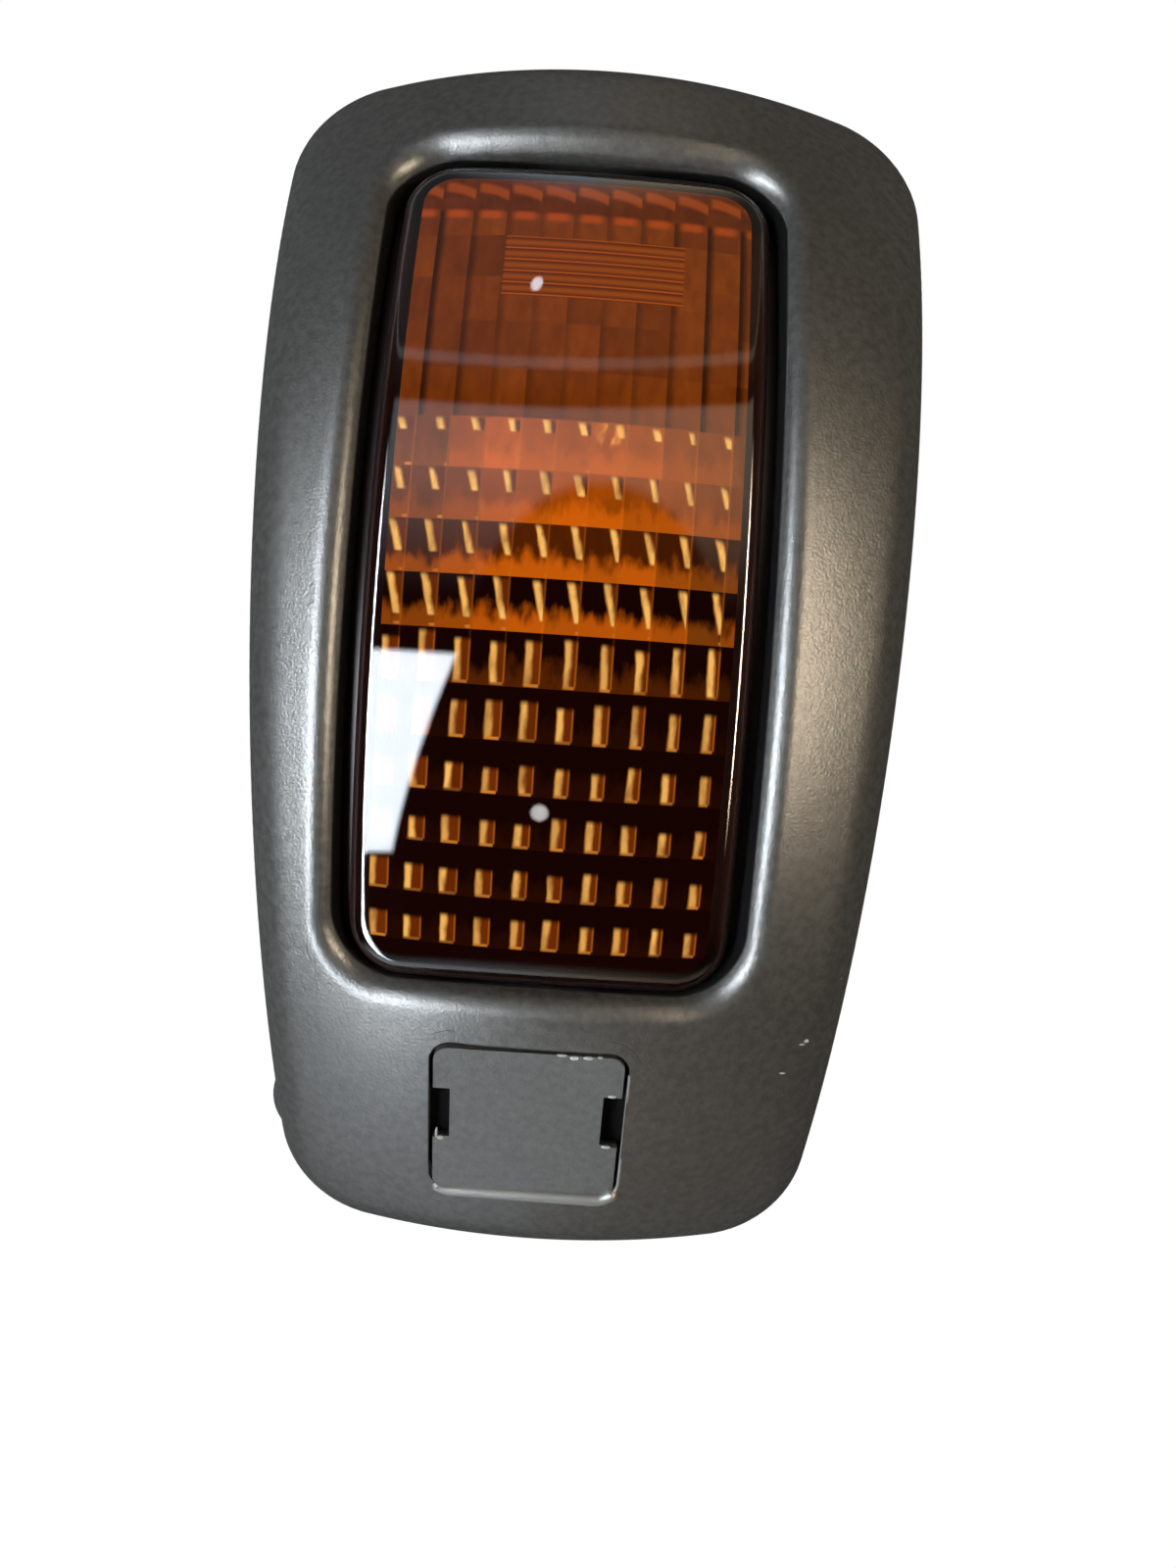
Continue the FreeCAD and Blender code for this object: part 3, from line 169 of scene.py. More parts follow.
def grained_plastic(name, colour, fleck, roughness, grain, depth, opening=None, recess=None):
    """Moulded plastic with a fine grain and slight flecks, with shade painted near black into its opening
    and recess if it has them.
    """
    material, tree = blank(name)
    where = place(tree)
    fine = add(tree, "ShaderNodeTexNoise", {"Vector": where, "Scale": grain, "Detail": 3.0})
    cloud = add(tree, "ShaderNodeTexNoise", {"Vector": where, "Scale": grain / 3, "Detail": 4.0})
    ramp = add(tree, "ShaderNodeMapRange", {
        "Value": cloud.outputs["Fac"], "From Min": 0.35, "From Max": 0.7})
    shade = mix(tree, ramp.outputs[0], linear(colour), linear(fleck))
    bump = add(tree, "ShaderNodeBump", {
        "Height": fine.outputs["Fac"], "Strength": 1.0, "Distance": depth})
    gloss = SHEEN
    if opening:
        # Shade painted into the skirt round the lens and the cap's recess: near black, rougher and barely
        # glossy; the pale specks are dust.
        inside = calc(tree, "MAXIMUM", rounded(tree, where, opening), rounded(tree, where, recess))
        shade = mix(tree, specks(tree, where), shade, linear(DUST))
        shade = mix(tree, inside, shade, linear(PAINTED_SHADE))
        roughness = calc(tree, "MULTIPLY_ADD", inside, PAINTED_SHADE_ROUGHNESS - roughness, roughness)
        gloss = calc(tree, "MULTIPLY_ADD", inside, PAINTED_SHADE_SHEEN - SHEEN, gloss)
    matt = add(tree, "ShaderNodeBsdfPrincipled", {
        "Base Color": shade, "Roughness": roughness, "Specular IOR Level": 0.0, "Normal": bump.outputs[0]})
    sheen = add(tree, "ShaderNodeBsdfGlossy", {
        "Color": WHITE, "Roughness": roughness, "Normal": bump.outputs[0]})
    surface(tree, add(tree, "ShaderNodeMixShader", {0: gloss, 1: matt.outputs[0], 2: sheen.outputs[0]}))
    return material


def calc(tree, operation, *values):
    """The output of one math node."""
    return add(tree, "ShaderNodeMath", dict(enumerate(values)), operation=operation).outputs[0]


def smooth(tree, value, low, high):
    """0 below the low value and 1 above the high one, eased between."""
    return add(tree, "ShaderNodeMapRange", {"Value": value, "From Min": low, "From Max": high},
               interpolation_type="SMOOTHSTEP").outputs[0]


def band(tree, value, low, high, soft):
    """1 between two values and 0 outside them, with soft edges."""
    rise = smooth(tree, value, low - soft, low + soft)
    return calc(tree, "SUBTRACT", rise, smooth(tree, value, high - soft, high + soft))


def rounded(tree, where, sides):
    """1 inside an upright rectangle with rounded corners, given by its sides and corner radius."""
    left, right, low, high, radius = sides
    x, _, z = add(tree, "ShaderNodeSeparateXYZ", {0: where}).outputs
    outs = []
    for value, first, last in ((x, left, right), (z, low, high)):
        away = calc(tree, "ABSOLUTE", calc(tree, "SUBTRACT", value, (first + last) / 2))
        past = calc(tree, "MAXIMUM", calc(tree, "SUBTRACT", away, (last - first) / 2 - radius), 0.0)
        outs.append(calc(tree, "MULTIPLY", past, past))
    reach = calc(tree, "SQRT", calc(tree, "ADD", *outs))
    return calc(tree, "SUBTRACT", 1.0, smooth(tree, reach, radius - 2e-4, radius + 2e-4))


def specks(tree, where):
    """Sparse small pale specks of dust."""
    cells = add(tree, "ShaderNodeTexVoronoi", {"Vector": where, "Scale": 130.0})
    dot = calc(tree, "SUBTRACT", 1.0, smooth(tree, cells.outputs["Distance"], 0.02, 0.035))
    pick = add(tree, "ShaderNodeSeparateColor", {0: cells.outputs["Color"]}).outputs[0]
    return calc(tree, "MULTIPLY", dot, smooth(tree, pick, 0.86, 0.9))


def mix(tree, factor, first, second):
    """A blend of two colours."""
    return add(tree, "ShaderNodeMix", {0: factor, 6: first, 7: second}, data_type="RGBA").outputs[2]


def amber_acrylic(name, tint, density):
    """Clear amber acrylic: smooth faces, and colour that deepens with thickness."""
    material, tree = blank(name)
    glass = add(tree, "ShaderNodeBsdfPrincipled", {
        "Base Color": WHITE, "Roughness": 0.02, "IOR": 1.49, "Transmission Weight": 1.0})
    depth = add(tree, "ShaderNodeVolumeAbsorption", {"Color": linear(tint), "Density": density})
    surface(tree, glass, depth)
    return material


def optics_grid(tree, looks):
    """Where a point lies in the columns and rows of the lens, with chance values for its cell."""
    c = partial(calc, tree)
    x, y, z = add(tree, "ShaderNodeSeparateXYZ", {0: place(tree)}).outputs
    across = c("DIVIDE", c("SUBTRACT", x, looks.first_column), looks.cell_width)
    angle = c("ARCTAN2", c("SUBTRACT", z, looks.bow_centre), c("SUBTRACT", looks.bow_axis, y))
    down = c("DIVIDE", c("SUBTRACT", looks.first_row, angle), looks.row_angle)
    column, row = c("FLOOR", across), c("FLOOR", down)
    cell = add(tree, "ShaderNodeCombineXYZ", {0: column, 1: row}).outputs[0]
    chance = add(tree, "ShaderNodeTexWhiteNoise", {"Vector": cell}).outputs["Color"]
    stretch = add(tree, "ShaderNodeCombineXYZ", {
        0: c("MULTIPLY", x, DRIP_ACROSS), 1: c("MULTIPLY", z, DRIP_UP),
        2: c("MULTIPLY", row, DRIP_ROW)}).outputs[0]
    drip = add(tree, "ShaderNodeTexNoise", {"Vector": stretch, "Scale": 1.0, "Detail": 3.0}).outputs["Fac"]
    return SimpleNamespace(
        x=x, z=z, down=down, column=column, row=row, fx=c("FRACT", across), fz=c("FRACT", down), drip=drip,
        chance=add(tree, "ShaderNodeSeparateColor", {0: chance}).outputs,
        off=smooth(tree, c("ABSOLUTE", c("SUBTRACT", column, MIDDLE_COLUMN)), 1.5, 4.5))


def prisms(tree, at):
    """Painted light of the prism cells: a bright streak, an amber foot, a lit lip and a seam."""
    c = partial(calc, tree)
    h1, h2, h3 = at.chance
    low_rows = smooth(tree, at.row, 2.6, 4.4)
    high_rows = c("SUBTRACT", 1.0, smooth(tree, at.row, 0.4, 2.6))

    # The streak, a painted highlight in the right half of each cell: short in the upper rows, taller in the
    # lower.
    end = c("MINIMUM", c("MULTIPLY_ADD", at.row, 0.17, 0.28), 0.95)
    start = c("MAXIMUM", c("MINIMUM", c("MULTIPLY_ADD", at.row, 0.15, -0.55), 0.36), 0.0)
    start = c("MULTIPLY_ADD", h1, c("MULTIPLY_ADD", low_rows, 0.12, 0.06), start)
    taper = c("MULTIPLY", c("MULTIPLY", at.fz, 0.4), c("SUBTRACT", 1.0, low_rows))
    left = c("ADD", c("MULTIPLY_ADD", at.column, 0.022, 0.44), taper)
    left = c("MULTIPLY_ADD", c("SUBTRACT", h2, 0.5), 0.1, left)
    left = c("MULTIPLY_ADD", c("SUBTRACT", at.drip, 0.5), 0.16, left)
    rise = c("SUBTRACT", at.fx, left)
    wide = c("SUBTRACT", smooth(tree, rise, -0.04, 0.05), smooth(tree, at.fx, 0.92, 0.96))
    tall = c("SUBTRACT", smooth(tree, c("SUBTRACT", at.fz, start), -0.05, 0.08),
             smooth(tree, c("SUBTRACT", at.fz, end), -0.04, 0.02))
    streak = c("MULTIPLY", c("MAXIMUM", wide, 0.0), c("MAXIMUM", tall, 0.0))
    core = c("SUBTRACT", 1.0, smooth(tree, c("ABSOLUTE", c("SUBTRACT", rise, 0.09)), 0.02, 0.17))
    hot = c("MULTIPLY", core, c("MULTIPLY_ADD", at.drip, 2.2, -0.2))
    gold = mix(tree, hot, linear(STREAK_SHADE), linear(STREAK_CORE))
    gold = mix(tree, c("MULTIPLY", c("MULTIPLY", h3, low_rows), 0.45), gold, linear(STREAK_DULL))

    # The foot: amber in the upper cells, browner to the sides, near black in the lower cells.
    side = c("MULTIPLY_ADD", h3, 0.4, c("MULTIPLY", at.off, 0.6))
    amber = mix(tree, side, linear(FOOT_MIDDLE), linear(FOOT_SIDE))
    foot = smooth(tree, c("MULTIPLY_ADD", c("SUBTRACT", at.drip, 0.5), 0.9, at.fz), 0.45, 0.85)
    foot = c("MULTIPLY", foot, c("SUBTRACT", 1.0, c("MULTIPLY", low_rows, 0.98)))
    body = mix(tree, foot, linear(CELL_DARK), amber)
    body = mix(tree, c("MULTIPLY", high_rows, c("MULTIPLY_ADD", at.drip, 0.5, 0.45)), body, amber)
    body = mix(tree, streak, body, gold)
    lip = c("MULTIPLY", band(tree, at.fz, 0.93, 0.985, 0.015), c("MAXIMUM", wide, 0.0))
    body = mix(tree, c("MULTIPLY", lip, c("MULTIPLY_ADD", h3, 0.6, 0.2)), body, linear(CELL_LIP))
    seam = c("MULTIPLY", band(tree, at.fx, 0.935, 0.985, 0.02), c("MULTIPLY_ADD", low_rows, 0.3, 0.25))
    seam = c("MULTIPLY", seam, c("MAXIMUM", tall, c("SUBTRACT", 1.0, low_rows)))
    return mix(tree, seam, body, linear(CELL_SEAM))


def bulb_image(tree, looks, at, body):
    """A painted image of the bulb over the prisms, small and broken up."""
    c = partial(calc, tree)
    bulb_x, bulb_z = looks.bulb_image
    gap_x, gap_z = c("SUBTRACT", at.x, bulb_x), c("SUBTRACT", at.z, bulb_z)
    gap = c("SQRT", c("ADD", c("MULTIPLY", gap_x, gap_x), c("MULTIPLY", gap_z, gap_z)))
    ring = c("MULTIPLY", band(tree, gap, 0.0006, 0.0017, 0.0004), smooth(tree, at.drip, 0.42, 0.62))
    return mix(tree, c("MULTIPLY", ring, 0.8), body, linear(BULB_GLOW))


def flutes(tree, looks, at):
    """Painted light of the plain flutes above the prisms, with their ribs, beads and scallops."""
    c = partial(calc, tree)
    # Painted shade, darker beside each fold, and more so towards the sides.
    fold = c("SUBTRACT", 1.0, smooth(tree, at.fx, 0.06, 0.3))
    fold = c("MULTIPLY", fold, c("MULTIPLY_ADD", at.off, 0.55, 0.3))
    flute = mix(tree, at.drip, linear(FLUTE_SHADE), linear(FLUTE_LIGHT))
    flute = mix(tree, c("MULTIPLY", at.chance[2], 0.5), flute, linear(FLUTE_DULL))
    flute = mix(tree, fold, flute, linear(FLUTE_FOLD))
    ribs = c("MULTIPLY", band(tree, at.x, looks.rib_left, looks.rib_right, 0.0002),
             band(tree, at.z, looks.rib_low, looks.rib_high, 0.0002))
    groove = c("FRACT", c("DIVIDE", c("SUBTRACT", at.z, looks.rib_low), looks.rib_pitch))
    rib = mix(tree, band(tree, groove, 0.35, 0.8, 0.2), linear(RIB_SHADE), linear(RIB_LIGHT))
    rib = mix(tree, band(tree, groove, 0.05, 0.16, 0.06), rib, linear(RIB_LINE))
    flute = mix(tree, ribs, flute, rib)
    top = smooth(tree, at.z, looks.bead_height, looks.bead_height + 0.0008)
    flute = mix(tree, top, flute, mix(tree, at.drip, linear(TOP_SHADE), linear(TOP_LIGHT)))
    bead = c("MULTIPLY", band(tree, at.z, looks.bead_height - 0.0006, looks.bead_height + 0.0006, 0.0004),
             band(tree, at.fx, 0.22, 0.85, 0.15))
    flute = mix(tree, c("MULTIPLY", bead, 0.6), flute, linear(BEAD))
    crest = c("SUBTRACT", at.z, c("MULTIPLY_ADD", c("MULTIPLY", at.fx, at.fx), -0.0012, looks.crest_height))
    scallop = c("MULTIPLY", band(tree, crest, -0.0009, 0.0006, 0.0004), smooth(tree, at.fx, 0.02, 0.2))
    return mix(tree, scallop, flute, linear(SCALLOP))


def amber_optics(name, looks):
    """Light that the prisms and flutes inside the lens send back, as a glow on its inner face."""
    material, tree = blank(name)
    at = optics_grid(tree, looks)
    body = bulb_image(tree, looks, at, prisms(tree, at))
    colour = mix(tree, smooth(tree, at.down, -0.02, 0.02), flutes(tree, looks, at), body)
    surface(tree, add(tree, "ShaderNodeEmission", {"Color": colour, "Strength": looks.optics_glow}))
    return material


def clear_glass(name):
    """Thin clear bulb glass."""
    material, tree = blank(name)
    surface(tree, add(tree, "ShaderNodeBsdfPrincipled", {
        "Base Color": WHITE, "Roughness": 0.0, "IOR": 1.5, "Transmission Weight": 1.0}))
    return material


def only(piece):
    """Makes one object the selected and active one."""
    bpy.ops.object.select_all(action="DESELECT")
    piece.select_set(True)
    bpy.context.view_layer.objects.active = piece


def dress(node, material):
    """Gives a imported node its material."""
    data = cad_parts[node].data
    data.materials.clear()
    data.materials.append(material)


def skin(node, material, angle):
    """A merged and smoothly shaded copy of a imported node, shown in its place."""
    piece = bpy.data.objects.new(node + "_skin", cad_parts[node].data.copy())
    bpy.context.collection.objects.link(piece)
    only(piece)
    bpy.ops.mesh.customdata_custom_splitnormals_clear()
    bpy.ops.object.mode_set(mode="EDIT")
    bpy.ops.mesh.select_all(action="SELECT")
    bpy.ops.mesh.remove_doubles(threshold=2e-6)
    bpy.ops.object.mode_set(mode="OBJECT")
    bpy.ops.object.shade_smooth_by_angle(angle=angle)
    piece.data.materials.clear()
    piece.data.materials.append(material)
    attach(piece, "root")
    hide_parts(node)
    return piece


def own(piece, material):
    """Gives a new piece its material and body."""
    piece.data.materials.append(material)
    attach(piece, "root")


def from_points(name, points, faces):
    """A new object made of points and faces, selected and active."""
    mesh = bpy.data.meshes.new(name)
    mesh.from_pydata(points, [], faces)
    piece = bpy.data.objects.new(name, mesh)
    bpy.context.collection.objects.link(piece)
    only(piece)
    return piece


def bowed(looks, x, z, crown, depth):
    """Y at a place across and up, a depth below a front that is crowned across and bowed along the lamp."""
    fall = crown - math.sqrt(crown ** 2 - x ** 2)
    reach = looks.bow_radius - depth - fall
    return looks.bow_axis - math.sqrt(reach ** 2 - (z - looks.bow_centre) ** 2)


class LampLooks(bpy.types.PropertyGroup):
    """Finish of the lamp's own pieces."""
    cover_colour: bpy.props.StringProperty(
        name="Cover colour", description="Grey of the front cover, sRGB hex", default="#464541")
    cover_fleck: bpy.props.StringProperty(
        name="Cover fleck", description="Paler grey of the cover's grain, sRGB hex", default="#5b5a55")
    cap_colour: bpy.props.StringProperty(
        name="Cap colour", description="Grey of the screw cap, sRGB hex", default="#4c4d4b")
    cover_roughness: bpy.props.FloatProperty(
        name="Cover roughness", description="Roughness of the cover's sheen",
        default=0.33, min=0.0, max=1.0)
    cap_roughness: bpy.props.FloatProperty(
        name="Cap roughness", description="Roughness of the cap's sheen", default=0.45, min=0.0, max=1.0)
    grain: bpy.props.FloatProperty(
        name="Grain", description="Grains of the moulded plastic to a metre", default=2600.0)
    cover_grain_depth: bpy.props.FloatProperty(
        name="Cover grain depth", description="Depth of the cover's grain", default=5e-5, unit="LENGTH")
    cap_grain_depth: bpy.props.FloatProperty(
        name="Cap grain depth", description="Depth of the cap's grain", default=4e-5, unit="LENGTH")
    body_grain_depth: bpy.props.FloatProperty(
        name="Body grain depth", description="Depth of the rear body's grain",
        default=1e-5, unit="LENGTH")
    # The skirt round the lens and the recess below bound the shade that is painted on the cover.
    opening: bpy.props.FloatVectorProperty(
        name="Opening", description="Left, right, foot, top and corner radius of the skirt round the lens",
        default=(-0.0290, 0.0241, -0.0433, 0.0659, 0.009), size=5, unit="LENGTH")
    recess: bpy.props.FloatVectorProperty(
        name="Recess", description="Left, right, foot, top and corner radius of the recess of the screw cap",
        default=(-0.0154, 0.0106, -0.0722, -0.0507, 0.003), size=5, unit="LENGTH")
    cover_crown: bpy.props.FloatProperty(
        name="Cover crown", description="Radius of the front of the cover across the lamp",
        default=0.095, unit="LENGTH")
    ledge: bpy.props.FloatProperty(
        name="Ledge", description="Height of the ledge below the cap", default=0.0015, unit="LENGTH")
    rim_width: bpy.props.FloatProperty(
        name="Rim width", description="Width of the face round the recess",
        default=0.0016, unit="LENGTH")
    rim_rise: bpy.props.FloatProperty(
        name="Rim rise", description="Height of the face round the recess above the cover",
        default=4e-5, unit="LENGTH")
    rim_thick: bpy.props.FloatProperty(
        name="Rim thickness", description="Thickness of the face round the recess",
        default=0.0006, unit="LENGTH")
    lip_radius: bpy.props.FloatProperty(
        name="Lip radius", description="Radius of the worn edge below the recess",
        default=0.0009, unit="LENGTH")
    cap_fleck: bpy.props.StringProperty(
        name="Cap fleck", description="Paler grey of the cap's grain, sRGB hex", default="#5a5b58")
    lens_tint: bpy.props.StringProperty(
        name="Lens tint", description="Colour that the amber lets through, sRGB hex", default="#ff9a40")
    lens_density: bpy.props.FloatProperty(
        name="Lens density", description="Absorption of the amber per metre", default=120.0, min=0.0)
    optics_glow: bpy.props.FloatProperty(
        name="Optics glow", description="Strength of the light that the prisms send back", default=1.0)
    lens_reach: bpy.props.FloatVectorProperty(
        name="Lens reach", description="Reach of the lens to its sides, top and foot",
        default=(0.0242, 0.0552, 0.0523), unit="LENGTH")
    lens_shift: bpy.props.FloatProperty(
        name="Lens shift", description="Place of the lens across the lamp",
        default=-0.0024, unit="LENGTH")
    lens_height: bpy.props.FloatProperty(
        name="Lens height", description="Height of the middle of the lens",
        default=0.0095, unit="LENGTH")
    lens_corner: bpy.props.FloatProperty(
        name="Lens corner", description="Corner radius of the lens", default=0.007, unit="LENGTH")
    lens_edge: bpy.props.FloatProperty(
        name="Lens edge", description="Radius round the edge of the front of the lens",
        default=0.002, unit="LENGTH")
    lens_wall: bpy.props.FloatProperty(
        name="Lens wall", description="Wall of the lens", default=0.0026, unit="LENGTH")
    lens_recess: bpy.props.FloatProperty(
        name="Lens recess", description="Depth of the lens below the bowed front of the cover",
        default=0.003, unit="LENGTH")
    flange_top: bpy.props.FloatProperty(
        name="Flange top", description="Depth of the flange below the front of the lens",
        default=0.0041, unit="LENGTH")
    flange_foot: bpy.props.FloatProperty(
        name="Flange foot", description="Depth of the rear of the flange below the front of the lens",
        default=0.0061, unit="LENGTH")
    flange_reach: bpy.props.FloatProperty(
        name="Flange reach", description="Reach of the flange past the lens",
        default=0.0042, unit="LENGTH")
    bow_radius: bpy.props.FloatProperty(
        name="Bow radius", description="Radius of the bowed front of the cover",
        default=0.142, unit="LENGTH")
    lens_crown: bpy.props.FloatProperty(
        name="Lens crown", description="Radius of the front of the lens across the lamp",
        default=0.16, unit="LENGTH")
    rings: bpy.props.IntProperty(
        name="Rings", description="Rings of faces from the middle of the lens to its edge", default=40)
    edge_steps: bpy.props.IntProperty(
        name="Edge steps", description="Rings of faces round the edge of the lens", default=8)
    corner_steps: bpy.props.IntProperty(
        name="Corner steps", description="Points round a corner of the lens", default=10)
    side_steps: bpy.props.IntProperty(
        name="Side steps", description="Points along a side of the lens", default=32)
    first_column: bpy.props.FloatProperty(
        name="First column", description="Left edge of the prism columns",
        default=-0.02585, unit="LENGTH")
    cell_width: bpy.props.FloatProperty(
        name="Cell width", description="Width of a prism column", default=0.00436, unit="LENGTH")
    first_row: bpy.props.FloatProperty(
        name="First row", description="Angle of the top of the prism rows about the bow's axis",
        default=math.radians(11.1), subtype="ANGLE", unit="ROTATION")
    row_angle: bpy.props.FloatProperty(
        name="Row angle", description="Angle of one prism row about the bow's axis",
        default=math.radians(2.8), subtype="ANGLE", unit="ROTATION")
    bow_axis: bpy.props.FloatProperty(
        name="Bow axis", description="Depth of the axis that the lens is bowed about",
        default=0.097, unit="LENGTH")
    bow_centre: bpy.props.FloatProperty(
        name="Bow centre", description="Height of the axis that the lens is bowed about",
        default=0.0015, unit="LENGTH")
    rib_left: bpy.props.FloatProperty(
        name="Rib left", description="Left end of the plain ribs", default=-0.0125, unit="LENGTH")
    rib_right: bpy.props.FloatProperty(
        name="Rib right", description="Right end of the plain ribs", default=0.0105, unit="LENGTH")
    rib_low: bpy.props.FloatProperty(
        name="Rib foot", description="Foot of the plain ribs", default=0.0443, unit="LENGTH")
    rib_high: bpy.props.FloatProperty(
        name="Rib top", description="Top of the plain ribs", default=0.053, unit="LENGTH")
    rib_pitch: bpy.props.FloatProperty(
        name="Rib pitch", description="Spacing of the plain ribs", default=0.0017, unit="LENGTH")
    bead_height: bpy.props.FloatProperty(
        name="Bead height", description="Height of the row of bright beads",
        default=0.0563, unit="LENGTH")
    crest_height: bpy.props.FloatProperty(
        name="Crest height", description="Height of the scalloped light at the top",
        default=0.0608, unit="LENGTH")
    bulb_image: bpy.props.FloatVectorProperty(
        name="Bulb image", description="Place across and up of the bulb's image in the lens",
        default=(0.0024, 0.0265), size=2, unit="LENGTH")
    burr_size: bpy.props.FloatProperty(
        name="Burr size", description="Radius that the burrs and nicks are stretched from",
        default=0.0003, unit="LENGTH")
    ear_place: bpy.props.FloatVectorProperty(
        name="Ear place", description="Middle of the gasket's ear", default=(-0.0350, -0.0014, -0.0675),
        subtype="XYZ", unit="LENGTH")
    ear_radius: bpy.props.FloatProperty(
        name="Ear radius", description="Radius of the gasket's ear", default=0.007, unit="LENGTH")
    ear_thick: bpy.props.FloatProperty(
        name="Ear thickness", description="Thickness of the gasket's ear", default=0.0022, unit="LENGTH")
    crease: bpy.props.FloatProperty(
        name="Crease", description="Steepest edge that is shaded smooth", default=math.radians(32),
        subtype="ANGLE", unit="ROTATION")


class LampStage(bpy.types.PropertyGroup):
    """Camera, floor and light around the lamp."""
    eye: bpy.props.FloatVectorProperty(
        name="Eye", description="Place of the camera", default=(0.0003, -0.1836, -0.0146),
        subtype="XYZ", unit="LENGTH")
    aim: bpy.props.FloatVectorProperty(
        name="Aim", description="Point that the camera looks at", default=(0.0032, 0.0, -0.0172),
        subtype="XYZ", unit="LENGTH")
    roll: bpy.props.FloatProperty(
        name="Roll", description="Turn of the camera about its view", default=math.radians(3.9),
        subtype="ANGLE", unit="ROTATION")
    focal: bpy.props.FloatProperty(
        name="Focal length", description="Focal length of the camera in mm", default=27.0)
    floor_height: bpy.props.FloatProperty(
        name="Floor height", description="Height of the floor", default=-0.32, unit="LENGTH")
    floor_radius: bpy.props.FloatProperty(
        name="Floor radius", description="Radius of the floor disc", default=0.22, unit="LENGTH")
    gleam: bpy.props.FloatProperty(
        name="Gleam", description="Strength of the surrounding light in reflections", default=0.5)
    fill: bpy.props.FloatProperty(
        name="Fill", description="Strength of the surrounding light on matt faces", default=0.06)


class LampPiece:
    """What every lamp operator shares."""
    bl_options = {"REGISTER", "UNDO"}


